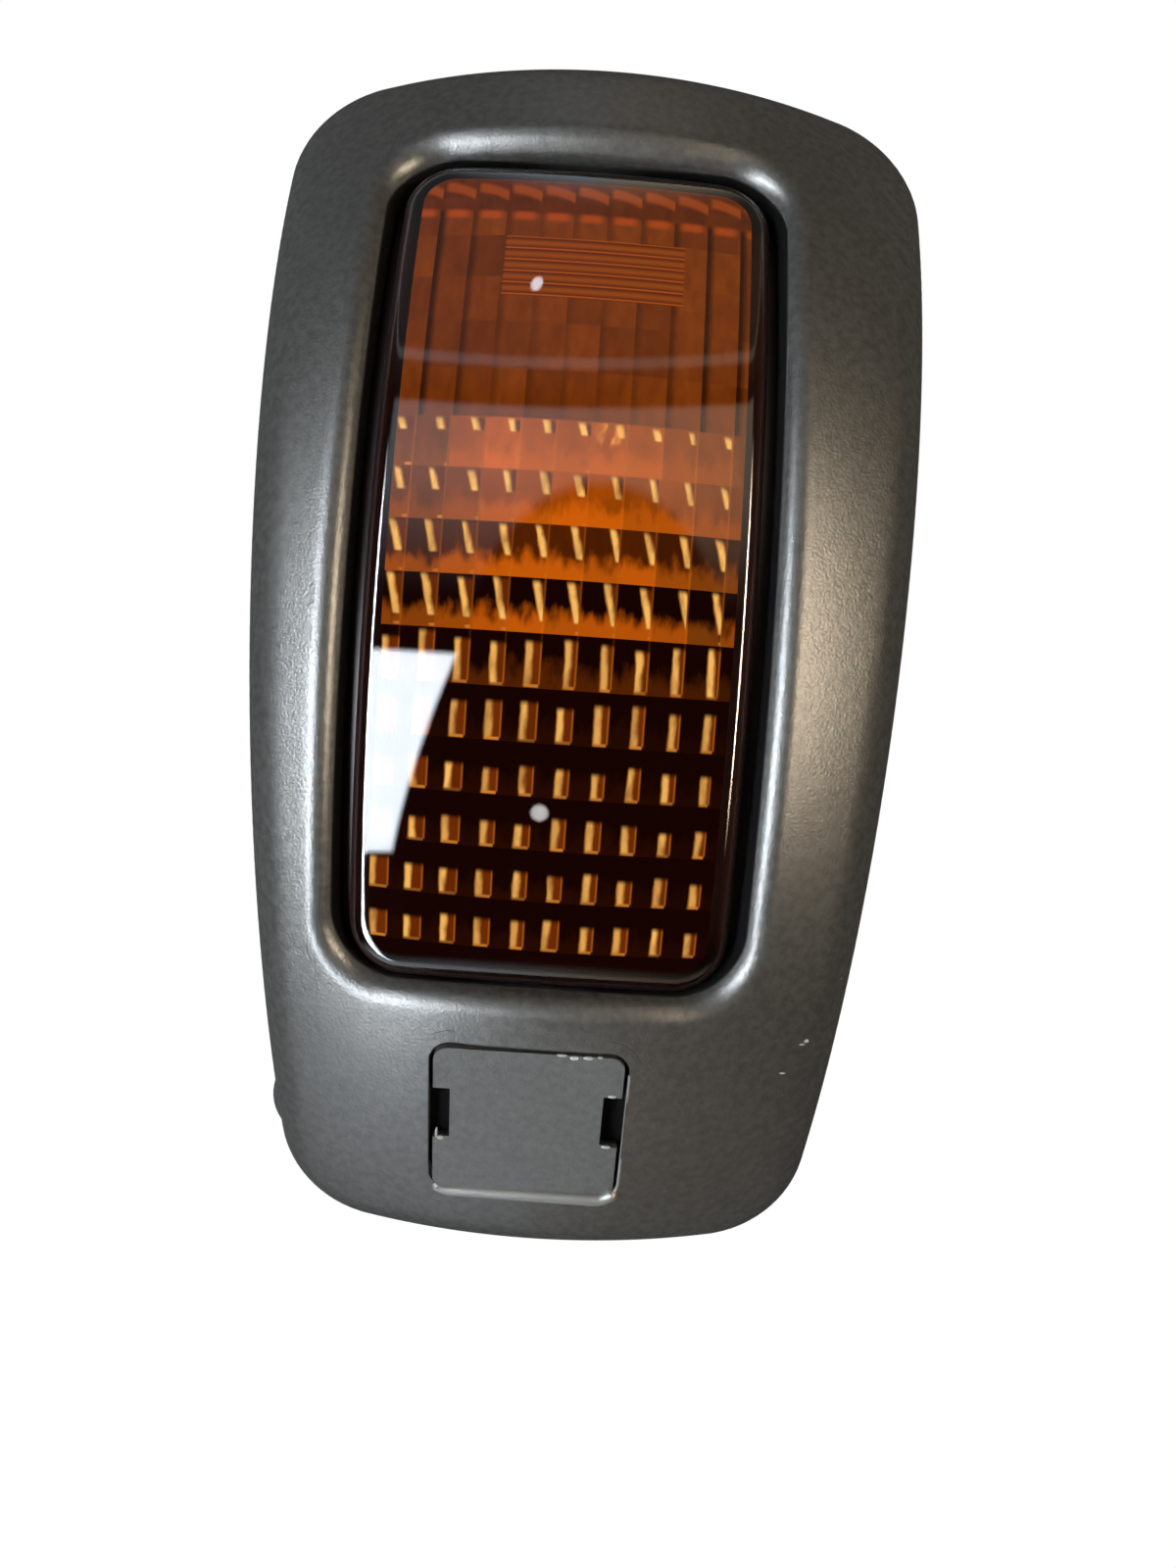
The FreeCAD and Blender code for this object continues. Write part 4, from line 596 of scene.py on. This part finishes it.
class LAMP_OT_cover(LampPiece, bpy.types.Operator):
    """Dresses the front cover and the screw cap, and adds their wear"""
    bl_idname = "lamp.cover"
    bl_label = "Front Cover"

    def execute(self, context):
        looks = context.scene.lamp_looks
        # Grained grey ABS, satin, with shade painted into the skirt round the lens and the cap's recess.
        abs_grey = grained_plastic(
            "ABS grained grey", looks.cover_colour, looks.cover_fleck, looks.cover_roughness, looks.grain,
            looks.cover_grain_depth, looks.opening, looks.recess)
        cover = skin("front_cover", abs_grey, looks.crease)
        # The cap has a shallower grain than the cover.
        cap_grey = grained_plastic(
            "ABS cap grey", looks.cap_colour, looks.cap_fleck, looks.cap_roughness, looks.grain,
            looks.cap_grain_depth)
        cap = skin("screw_cap", cap_grey, looks.crease)
        context.view_layer.update()
        self.flakes("cap_burrs", "cap_plastic", BURRS, looks.burr_size, lambda x, z: self.plate(cap, z))
        self.flakes("cover_nicks", "cover_plastic", NICKS, looks.burr_size,
                    lambda x, z: self.front(cover, x, z))
        self.rim(looks, abs_grey)
        self.lip(looks)
        self.notch(cap)
        return {"FINISHED"}

    def front(self, piece, x, z):
        """Depth of the front face of a piece at a place across and up."""
        hit, where, _, _ = piece.ray_cast((x, -1.0, z), (0.0, 1.0, 0.0))
        if not hit:
            raise RuntimeError(f"{piece.name} has no face at {x}, {z}")
        return where.y

    def plate(self, cap, z):
        """Depth of the flat face of the cap at a height, also past its edges."""
        high, low = self.front(cap, 0.0, PLATE_HIGH), self.front(cap, 0.0, PLATE_LOW)
        return high + (z - PLATE_HIGH) * (high - low) / (PLATE_HIGH - PLATE_LOW)

    def flakes(self, name, slot, places, size, depth):
        """Pale torn flakes left by a screwdriver or a knock, as one piece."""
        made = []
        for (x, z), shape in places:
            bpy.ops.mesh.primitive_ico_sphere_add(subdivisions=2, radius=size, location=(x, depth(x, z), z))
            bpy.context.object.scale = shape
            made.append(bpy.context.object)
        for flake in made:
            flake.select_set(True)
        bpy.ops.object.join()
        piece = bpy.context.object
        bpy.ops.object.transform_apply(location=True, rotation=True, scale=True)
        piece.name = name
        own(piece, plain("ABS torn", TORN, 0.6))

    def edge(self, looks, grow):
        """Points round the recess on the bowed face of the cover, grown outwards, from its right side."""
        left, right, low, high, radius = looks.recess
        low -= looks.ledge
        points = []
        for quarter, (x, z) in enumerate(((right - radius, high - radius), (left + radius, high - radius),
                                          (left + radius, low + radius), (right - radius, low + radius))):
            for step in range(looks.corner_steps + 1):
                turn = math.pi / 2 * (quarter + step / looks.corner_steps)
                px, pz = x + (radius + grow) * math.cos(turn), z + (radius + grow) * math.sin(turn)
                points.append((px, bowed(looks, px, pz, looks.cover_crown, 0.0), pz))
        return points

    def rim(self, looks, material):
        """The face of the cover round the recess, which gives the recess its rounded corners."""
        points = self.edge(looks, 0.0) + self.edge(looks, looks.rim_width)
        points = [(x, y - looks.rim_rise, z) for x, y, z in points]
        count = len(points) // 2
        faces = [(i, (i + 1) % count, count + (i + 1) % count, count + i) for i in range(count)]
        rim = from_points("recess_rim", points, faces)
        thick = rim.modifiers.new("thick", "SOLIDIFY")
        thick.thickness = looks.rim_thick
        thick.offset = 1.0
        bpy.ops.object.modifier_apply(modifier=thick.name)
        bpy.ops.object.mode_set(mode="EDIT")
        bpy.ops.mesh.select_all(action="SELECT")
        bpy.ops.mesh.normals_make_consistent(inside=False)
        bpy.ops.object.mode_set(mode="OBJECT")
        bpy.ops.object.shade_smooth_by_angle(angle=looks.crease)
        own(rim, material)

    def lip(self, looks):
        """The rounded edge along the foot of the recess, which thins out up its right side, in a paler grey
        painted as a highlight.
        """
        steps = looks.corner_steps + 1
        points = self.edge(looks, 0.0)
        path = points[2 * steps + steps // 2:] + points[:1]
        curve = bpy.data.curves.new("recess_lip", "CURVE")
        curve.dimensions = "3D"
        curve.bevel_depth = looks.lip_radius
        curve.bevel_resolution = 5
        curve.use_fill_caps = True
        line = curve.splines.new("POLY")
        line.points.add(len(path) - 1)
        for number, (point, where) in enumerate(zip(line.points, path)):
            share = number / (len(path) - 1)
            point.co = (*where, 1.0)
            point.radius = 1.0 if where[2] < looks.recess[2] else LIP_SIDE - LIP_FADE * share
        line.points[0].radius = LIP_END
        piece = bpy.data.objects.new("recess_lip", curve)
        bpy.context.collection.objects.link(piece)
        only(piece)
        bpy.ops.object.convert(target="MESH")
        piece = bpy.context.object
        bpy.ops.object.shade_smooth_by_angle(angle=looks.crease)
        # The paler grey is a highlight painted on the edge that faces up.
        own(piece, plain("ABS edge painted highlight", LIP_HIGHLIGHT, 0.4))

    def notch(self, cap):
        """Opens the two pry notches in the sides of the cap."""
        for (x, z), (width, height) in NOTCHES:
            bpy.ops.mesh.primitive_cube_add(size=1.0, location=(x, self.plate(cap, z), z))
            cutter = bpy.context.object
            cutter.scale = (width, NOTCH_DEPTH, height)
            only(cap)
            cut = cap.modifiers.new("notch", "BOOLEAN")
            cut.operation = "DIFFERENCE"
            cut.object = cutter
            bpy.ops.object.modifier_apply(modifier=cut.name)
            bpy.data.objects.remove(cutter)


class LAMP_OT_lens(LampPiece, bpy.types.Operator):
    """Builds the amber lens and dresses its seal"""
    bl_idname = "lamp.lens"
    bl_label = "Lens"

    def execute(self, context):
        looks = context.scene.lamp_looks
        lens = self.shape(looks)
        lens.data.materials.append(amber_acrylic("PMMA amber", looks.lens_tint, looks.lens_density))
        # An opaque dark red painted as the shade on the lens's outer edge, wall and flange in the trench.
        lens.data.materials.append(plain("PMMA amber edge painted shade", "#1c0300", 0.35))
        lens.data.materials.append(amber_optics("PMMA amber prisms painted light", looks))
        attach(lens, "root")
        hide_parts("lens")
        dress("lens_seal", plain("EPDM rubber", "#101010", 0.7))
        return {"FINISHED"}

    def shape(self, looks):
        """The lens turned out of one profile that is carried round its outline and follows the bow."""
        rings = []
        for step in range(looks.rings):
            rings.append((looks.lens_edge, 0.0, step / looks.rings, GLASS))
        for step in range(looks.edge_steps + 1):
            turn = math.pi / 2 * step / looks.edge_steps
            inset, drop = looks.lens_edge * (1 - math.sin(turn)), looks.lens_edge * (1 - math.cos(turn))
            rings.append((inset, drop, 1.0, GLASS if step < looks.edge_steps / 2 else EDGE_SHADE))
        rings.append((0.0, looks.flange_top, 1.0, EDGE_SHADE))
        rings.append((-looks.flange_reach, looks.flange_top, 1.0, EDGE_SHADE))
        rings.append((-looks.flange_reach, looks.flange_foot, 1.0, EDGE_SHADE))
        rings.append((looks.lens_wall, looks.flange_foot, 1.0, EDGE_SHADE))
        rings.append((looks.lens_wall, looks.lens_wall, 1.0, EDGE_SHADE))
        for step in range(1, looks.rings + 1):
            rings.append((looks.lens_wall, looks.lens_wall, 1 - step / looks.rings, OPTICS))
        points, faces, kinds = [], [], []
        count = 4 * (looks.corner_steps + looks.side_steps)
        for inset, drop, share, kind in rings:
            depth = looks.lens_recess + drop
            for x, z in self.outline(looks, inset, share):
                points.append((x, bowed(looks, x, z, looks.lens_crown, depth), z))
            kinds += [kind] * count
        for ring in range(len(rings) - 1):
            for step in range(count):
                here, ahead = ring * count + step, ring * count + (step + 1) % count
                faces.append((here, ahead, ahead + count, here + count))
        lens = from_points("lens_skin", points, faces)
        for face, kind in zip(lens.data.polygons, kinds[count:]):
            face.material_index = kind
        bpy.ops.object.mode_set(mode="EDIT")
        bpy.ops.mesh.select_all(action="SELECT")
        bpy.ops.mesh.remove_doubles(threshold=2e-6)
        bpy.ops.mesh.normals_make_consistent(inside=False)
        bpy.ops.object.mode_set(mode="OBJECT")
        bpy.ops.object.shade_smooth_by_angle(angle=looks.crease)
        return lens

    def outline(self, looks, inset, share):
        """Points of the lens outline, set in from it and drawn towards its middle."""
        half, top, foot = (size - inset for size in looks.lens_reach)
        radius = looks.lens_corner - inset
        corners = ((half - radius, top - radius), (radius - half, top - radius),
                   (radius - half, radius - foot), (half - radius, radius - foot))
        points = []
        for quarter, corner in enumerate(corners):
            start = Vector(corner)
            ahead = Vector(corners[(quarter + 1) % 4])
            for step in range(looks.corner_steps):
                turn = math.pi / 2 * (quarter + step / looks.corner_steps)
                points.append(start + radius * Vector((math.cos(turn), math.sin(turn))))
            turn = math.pi / 2 * (quarter + 1)
            side = radius * Vector((math.cos(turn), math.sin(turn)))
            for step in range(looks.side_steps):
                points.append(start.lerp(ahead, step / looks.side_steps) + side)
        return [(looks.lens_shift + share * x, looks.lens_height + share * z) for x, z in points]


class LAMP_OT_rear(LampPiece, bpy.types.Operator):
    """Dresses the rear body, reflector, bulb, holder and fixings"""
    bl_idname = "lamp.rear"
    bl_label = "Rear Pieces"

    def execute(self, context):
        looks = context.scene.lamp_looks
        body = grained_plastic("PP black", "#141414", "#1a1a1a", 0.5, looks.grain, looks.body_grain_depth)
        skin("lamp_body", body, looks.crease)
        skin("bulb_holder", body, looks.crease)
        # Vacuum-metallised plastic.
        skin("reflector", plain("Aluminium film", "#e6e4e0", 0.18, 1.0), looks.crease)
        glass = clear_glass("Soda glass")
        skin("bulb_glass", glass, looks.crease)
        dress("bulb_stem", glass)
        dress("bulb_filament", plain("Tungsten wire", "#6f6a64", 0.4, 1.0))
        brass = plain("Brass", "#b89a54", 0.32, 1.0)
        for node in ("bulb_cap", "live_contact", "earth_contact", "screw_sleeve"):
            skin(node, brass, looks.crease)
        dress("bulb_insulator", plain("Black glass insulator", "#0c0c0e", 0.25))
        dress("bulb_contact", plain("Solder", "#a9a9a6", 0.4, 1.0))
        steel = plain("Zinc-plated steel", "#a7a9ab", 0.35, 1.0)
        for node in ("holder_sleeve", "cover_screws", "fixing_screw", "fixing_washer"):
            skin(node, steel, looks.crease)
        dress("holder_seal", plain("NBR rubber", "#121212", 0.7))
        foam = plain("EVA foam", "#0b0b0b", 0.9)
        dress("door_gasket", foam)
        self.ear(looks, foam)
        return {"FINISHED"}

    def ear(self, looks, foam):
        """The gasket's ear, which shows past the cover low on the left."""
        bpy.ops.mesh.primitive_cylinder_add(
            vertices=48, radius=looks.ear_radius, depth=looks.ear_thick, location=looks.ear_place,
            rotation=(math.pi / 2, 0, 0))
        ear = bpy.context.object
        bpy.ops.object.transform_apply(location=True, rotation=True, scale=True)
        ear.name = "gasket_ear"
        own(ear, foam)


class LAMP_OT_stage(LampPiece, bpy.types.Operator):
    """Sets up the camera, floor, world and lights"""
    bl_idname = "lamp.stage"
    bl_label = "Stage"

    def execute(self, context):
        stage = context.scene.lamp_stage
        self.camera(context, stage)
        self.world(context, stage)
        self.floor(stage)
        self.lights()
        return {"FINISHED"}

    def camera(self, context, stage):
        """Places the camera close in front of the lamp, a little rolled."""
        eye = Vector(stage.eye)
        look = (Vector(stage.aim) - eye).normalized()
        right = look.cross(Vector((0, 0, 1))).normalized()
        level = Matrix((right, right.cross(look), -look)).transposed()
        turn = Matrix.Rotation(stage.roll, 3, "Z")
        bpy.ops.object.camera_add()
        camera = bpy.context.object
        camera.matrix_world = Matrix.Translation(eye) @ (level @ turn).to_4x4()
        camera.data.lens = stage.focal
        camera.data.sensor_width = 36.0
        camera.data.clip_start = 0.005
        context.scene.camera = camera
        context.scene.view_settings.view_transform = "Standard"

    def world(self, context, stage):
        """White for what is seen, softer for what lights the matt faces."""
        world = bpy.data.worlds.new("Studio")
        world.use_nodes = True
        tree = world.node_tree
        tree.nodes.clear()
        path = add(tree, "ShaderNodeLightPath").outputs
        seen = calc(tree, "MAXIMUM", path["Is Camera Ray"], path["Is Transmission Ray"])
        soft = calc(tree, "MULTIPLY_ADD", path["Is Glossy Ray"], stage.gleam - stage.fill, stage.fill)
        strength = calc(tree, "MAXIMUM", seen, soft)
        light = add(tree, "ShaderNodeBackground", {"Color": WHITE, "Strength": strength})
        add(tree, "ShaderNodeOutputWorld", {"Surface": light.outputs[0]})
        context.scene.world = world

    def floor(self, stage):
        """A plain pale floor below the lamp."""
        bpy.ops.mesh.primitive_circle_add(
            vertices=96, radius=stage.floor_radius, fill_type="NGON", location=(0, 0, stage.floor_height))
        floor = bpy.context.object
        floor.name = "floor"
        material, tree = blank("Pale floor")
        surface(tree, add(tree, "ShaderNodeEmission", {"Color": linear("#f1f1ef"), "Strength": 1.0}))
        floor.data.materials.append(material)
        floor.visible_diffuse = False
        floor.visible_glossy = False

    def lights(self):
        """Soft boxes at both sides, and the room that glossy faces reflect."""
        for box in BOXES:
            self.box(*box)
        self.room()

    def box(self, name, where, size, power, tone):
        """An area light that faces the lamp and lights its matt side only."""
        bpy.ops.object.light_add(type="AREA", location=where)
        lamp = bpy.context.object
        lamp.name = name
        lamp.rotation_euler = (-Vector(where)).to_track_quat("-Z", "Y").to_euler()
        lamp.data.shape = "RECTANGLE"
        lamp.data.size, lamp.data.size_y = size
        lamp.data.energy = power
        lamp.data.color = linear(tone)[:3]
        lamp.visible_glossy = False

    def room(self):
        """A half shell in front of the lamp that only reflections show."""
        bpy.ops.mesh.primitive_uv_sphere_add(segments=48, ring_count=24, radius=ROOM_RADIUS)
        room = bpy.context.object
        room.name = "room"
        bpy.ops.object.mode_set(mode="EDIT")
        bpy.ops.mesh.select_all(action="SELECT")
        bpy.ops.mesh.bisect(plane_co=(0, 0.1, 0), plane_no=(0, 1, 0), clear_outer=True)
        bpy.ops.object.mode_set(mode="OBJECT")
        material, tree = blank("Room seen in reflections")

        c = partial(calc, tree)
        x, y, z = add(tree, "ShaderNodeSeparateXYZ", {0: place(tree)}).outputs
        turn = c("MULTIPLY", c("ARCTAN2", x, c("MULTIPLY", y, -1.0)), math.degrees(1))
        lift = c("MULTIPLY", c("ARCSINE", c("DIVIDE", z, ROOM_RADIUS)), math.degrees(1))
        # A pale wall that fades downwards, with a dim part and a thin line above it.
        tilt = c("MULTIPLY_ADD", turn, WALL_SLOPE, lift)
        upper = c("MULTIPLY", smooth(tree, tilt, *UPPER_LIFT), UPPER_GLOW)
        line = c("MULTIPLY", band(tree, tilt, *LINE_LIFT, 0.6), LINE_GLOW)
        wall = c("SUBTRACT", smooth(tree, lift, *WALL_FADE), smooth(tree, tilt, *WALL_TOP))
        wall = c("MULTIPLY", wall, WALL_GLOW)
        # A dark oval in the wall, which the lens shows as a dome.
        dx = c("DIVIDE", c("SUBTRACT", turn, OVAL_PLACE[0]), OVAL_REACH[0])
        dy = c("DIVIDE", c("SUBTRACT", lift, OVAL_PLACE[1]), OVAL_REACH[1])
        oval = smooth(tree, c("ADD", c("MULTIPLY", dx, dx), c("MULTIPLY", dy, dy)), *OVAL_EDGE)
        wall = c("MULTIPLY", c("MULTIPLY", wall, oval), band(tree, turn, -WALL_TURN, WALL_TURN, 4.0))
        # A bright pane low on the left, with a leaning right edge, and two small spots.
        lean = c("MULTIPLY_ADD", lift, PANE_LEAN, turn)
        pane = c("SUBTRACT", 1.0, smooth(tree, lean, *PANE_RIGHT))
        pane = c("MULTIPLY", band(tree, lift, *PANE_LIFT, 0.7), pane)
        pane = c("MULTIPLY", pane, smooth(tree, turn, *PANE_LEFT))
        spots = 0.0
        for spot_turn, spot_lift in SPOTS:
            ax, ay = c("SUBTRACT", turn, spot_turn), c("SUBTRACT", lift, spot_lift)
            near = c("ADD", c("MULTIPLY", ax, ax), c("MULTIPLY", ay, ay))
            spots = c("ADD", c("SUBTRACT", 1.0, smooth(tree, near, *SPOT_EDGE)), spots)
        # Bright strips farther round that light the cover's flanks, the table below and the ceiling.
        left_strip = c("MULTIPLY", band(tree, lift, *LEFT_STRIP_LIFT, STRIP_LIFT_SOFT),
                       band(tree, turn, *LEFT_STRIP, STRIP_SOFT))
        right_strip = c("MULTIPLY", band(tree, lift, *RIGHT_STRIP_LIFT, STRIP_LIFT_SOFT),
                        band(tree, turn, *RIGHT_STRIP, STRIP_SOFT))
        table = c("SUBTRACT", 1.0, smooth(tree, lift, *TABLE_LIFT))
        fall = c("MULTIPLY_ADD", smooth(tree, turn, -TABLE_TURN, TABLE_TURN), TABLE_FALL, 1.0)
        table = c("MULTIPLY", table, fall)
        ceiling = smooth(tree, lift, *CEILING_LIFT)
        light = c("ADD", c("ADD", upper, line), c("ADD", wall, ROOM_GLOW))
        for patch, glow in ((pane, PANE_GLOW), (spots, SPOT_GLOW), (left_strip, LEFT_STRIP_GLOW),
                            (right_strip, RIGHT_STRIP_GLOW), (table, TABLE_GLOW), (ceiling, CEILING_GLOW)):
            light = c("MULTIPLY_ADD", patch, glow, light)
        tone = mix(tree, smooth(tree, turn, -ROOM_TURN, ROOM_TURN), linear(ROOM_COOL), linear(ROOM_WARM))
        surface(tree, add(tree, "ShaderNodeEmission", {"Color": tone, "Strength": light}))
        room.data.materials.append(material)
        room.visible_camera = False
        room.visible_diffuse = False
        room.visible_transmission = False
        room.visible_shadow = False


class LAMP_PT_panel(bpy.types.Panel):
    """Lamp settings in the 3D view's sidebar"""
    bl_idname = "LAMP_PT_panel"
    bl_label = "Truck Door Lamp"
    bl_space_type = "VIEW_3D"
    bl_region_type = "UI"
    bl_category = "Lamp"

    def draw(self, context):
        layout = self.layout
        for group in (context.scene.lamp_looks, context.scene.lamp_stage):
            for name in group.__annotations__:
                layout.prop(group, name)
        for operator in (LAMP_OT_cover, LAMP_OT_lens, LAMP_OT_rear, LAMP_OT_stage):
            layout.operator(operator.bl_idname)


CLASSES = (LampLooks, LampStage, LAMP_OT_cover, LAMP_OT_lens, LAMP_OT_rear, LAMP_OT_stage, LAMP_PT_panel)


def register():
    for cls in CLASSES:
        bpy.utils.register_class(cls)
    bpy.types.Scene.lamp_looks = bpy.props.PointerProperty(type=LampLooks)
    bpy.types.Scene.lamp_stage = bpy.props.PointerProperty(type=LampStage)


def unregister():
    del bpy.types.Scene.lamp_stage
    del bpy.types.Scene.lamp_looks
    for cls in reversed(CLASSES):
        bpy.utils.unregister_class(cls)


def main():
    """Builds the dressed lamp and its stage."""
    register()
    bpy.ops.lamp.cover()
    bpy.ops.lamp.lens()
    bpy.ops.lamp.rear()
    bpy.ops.lamp.stage()


if __name__ == "__main__":
    main()
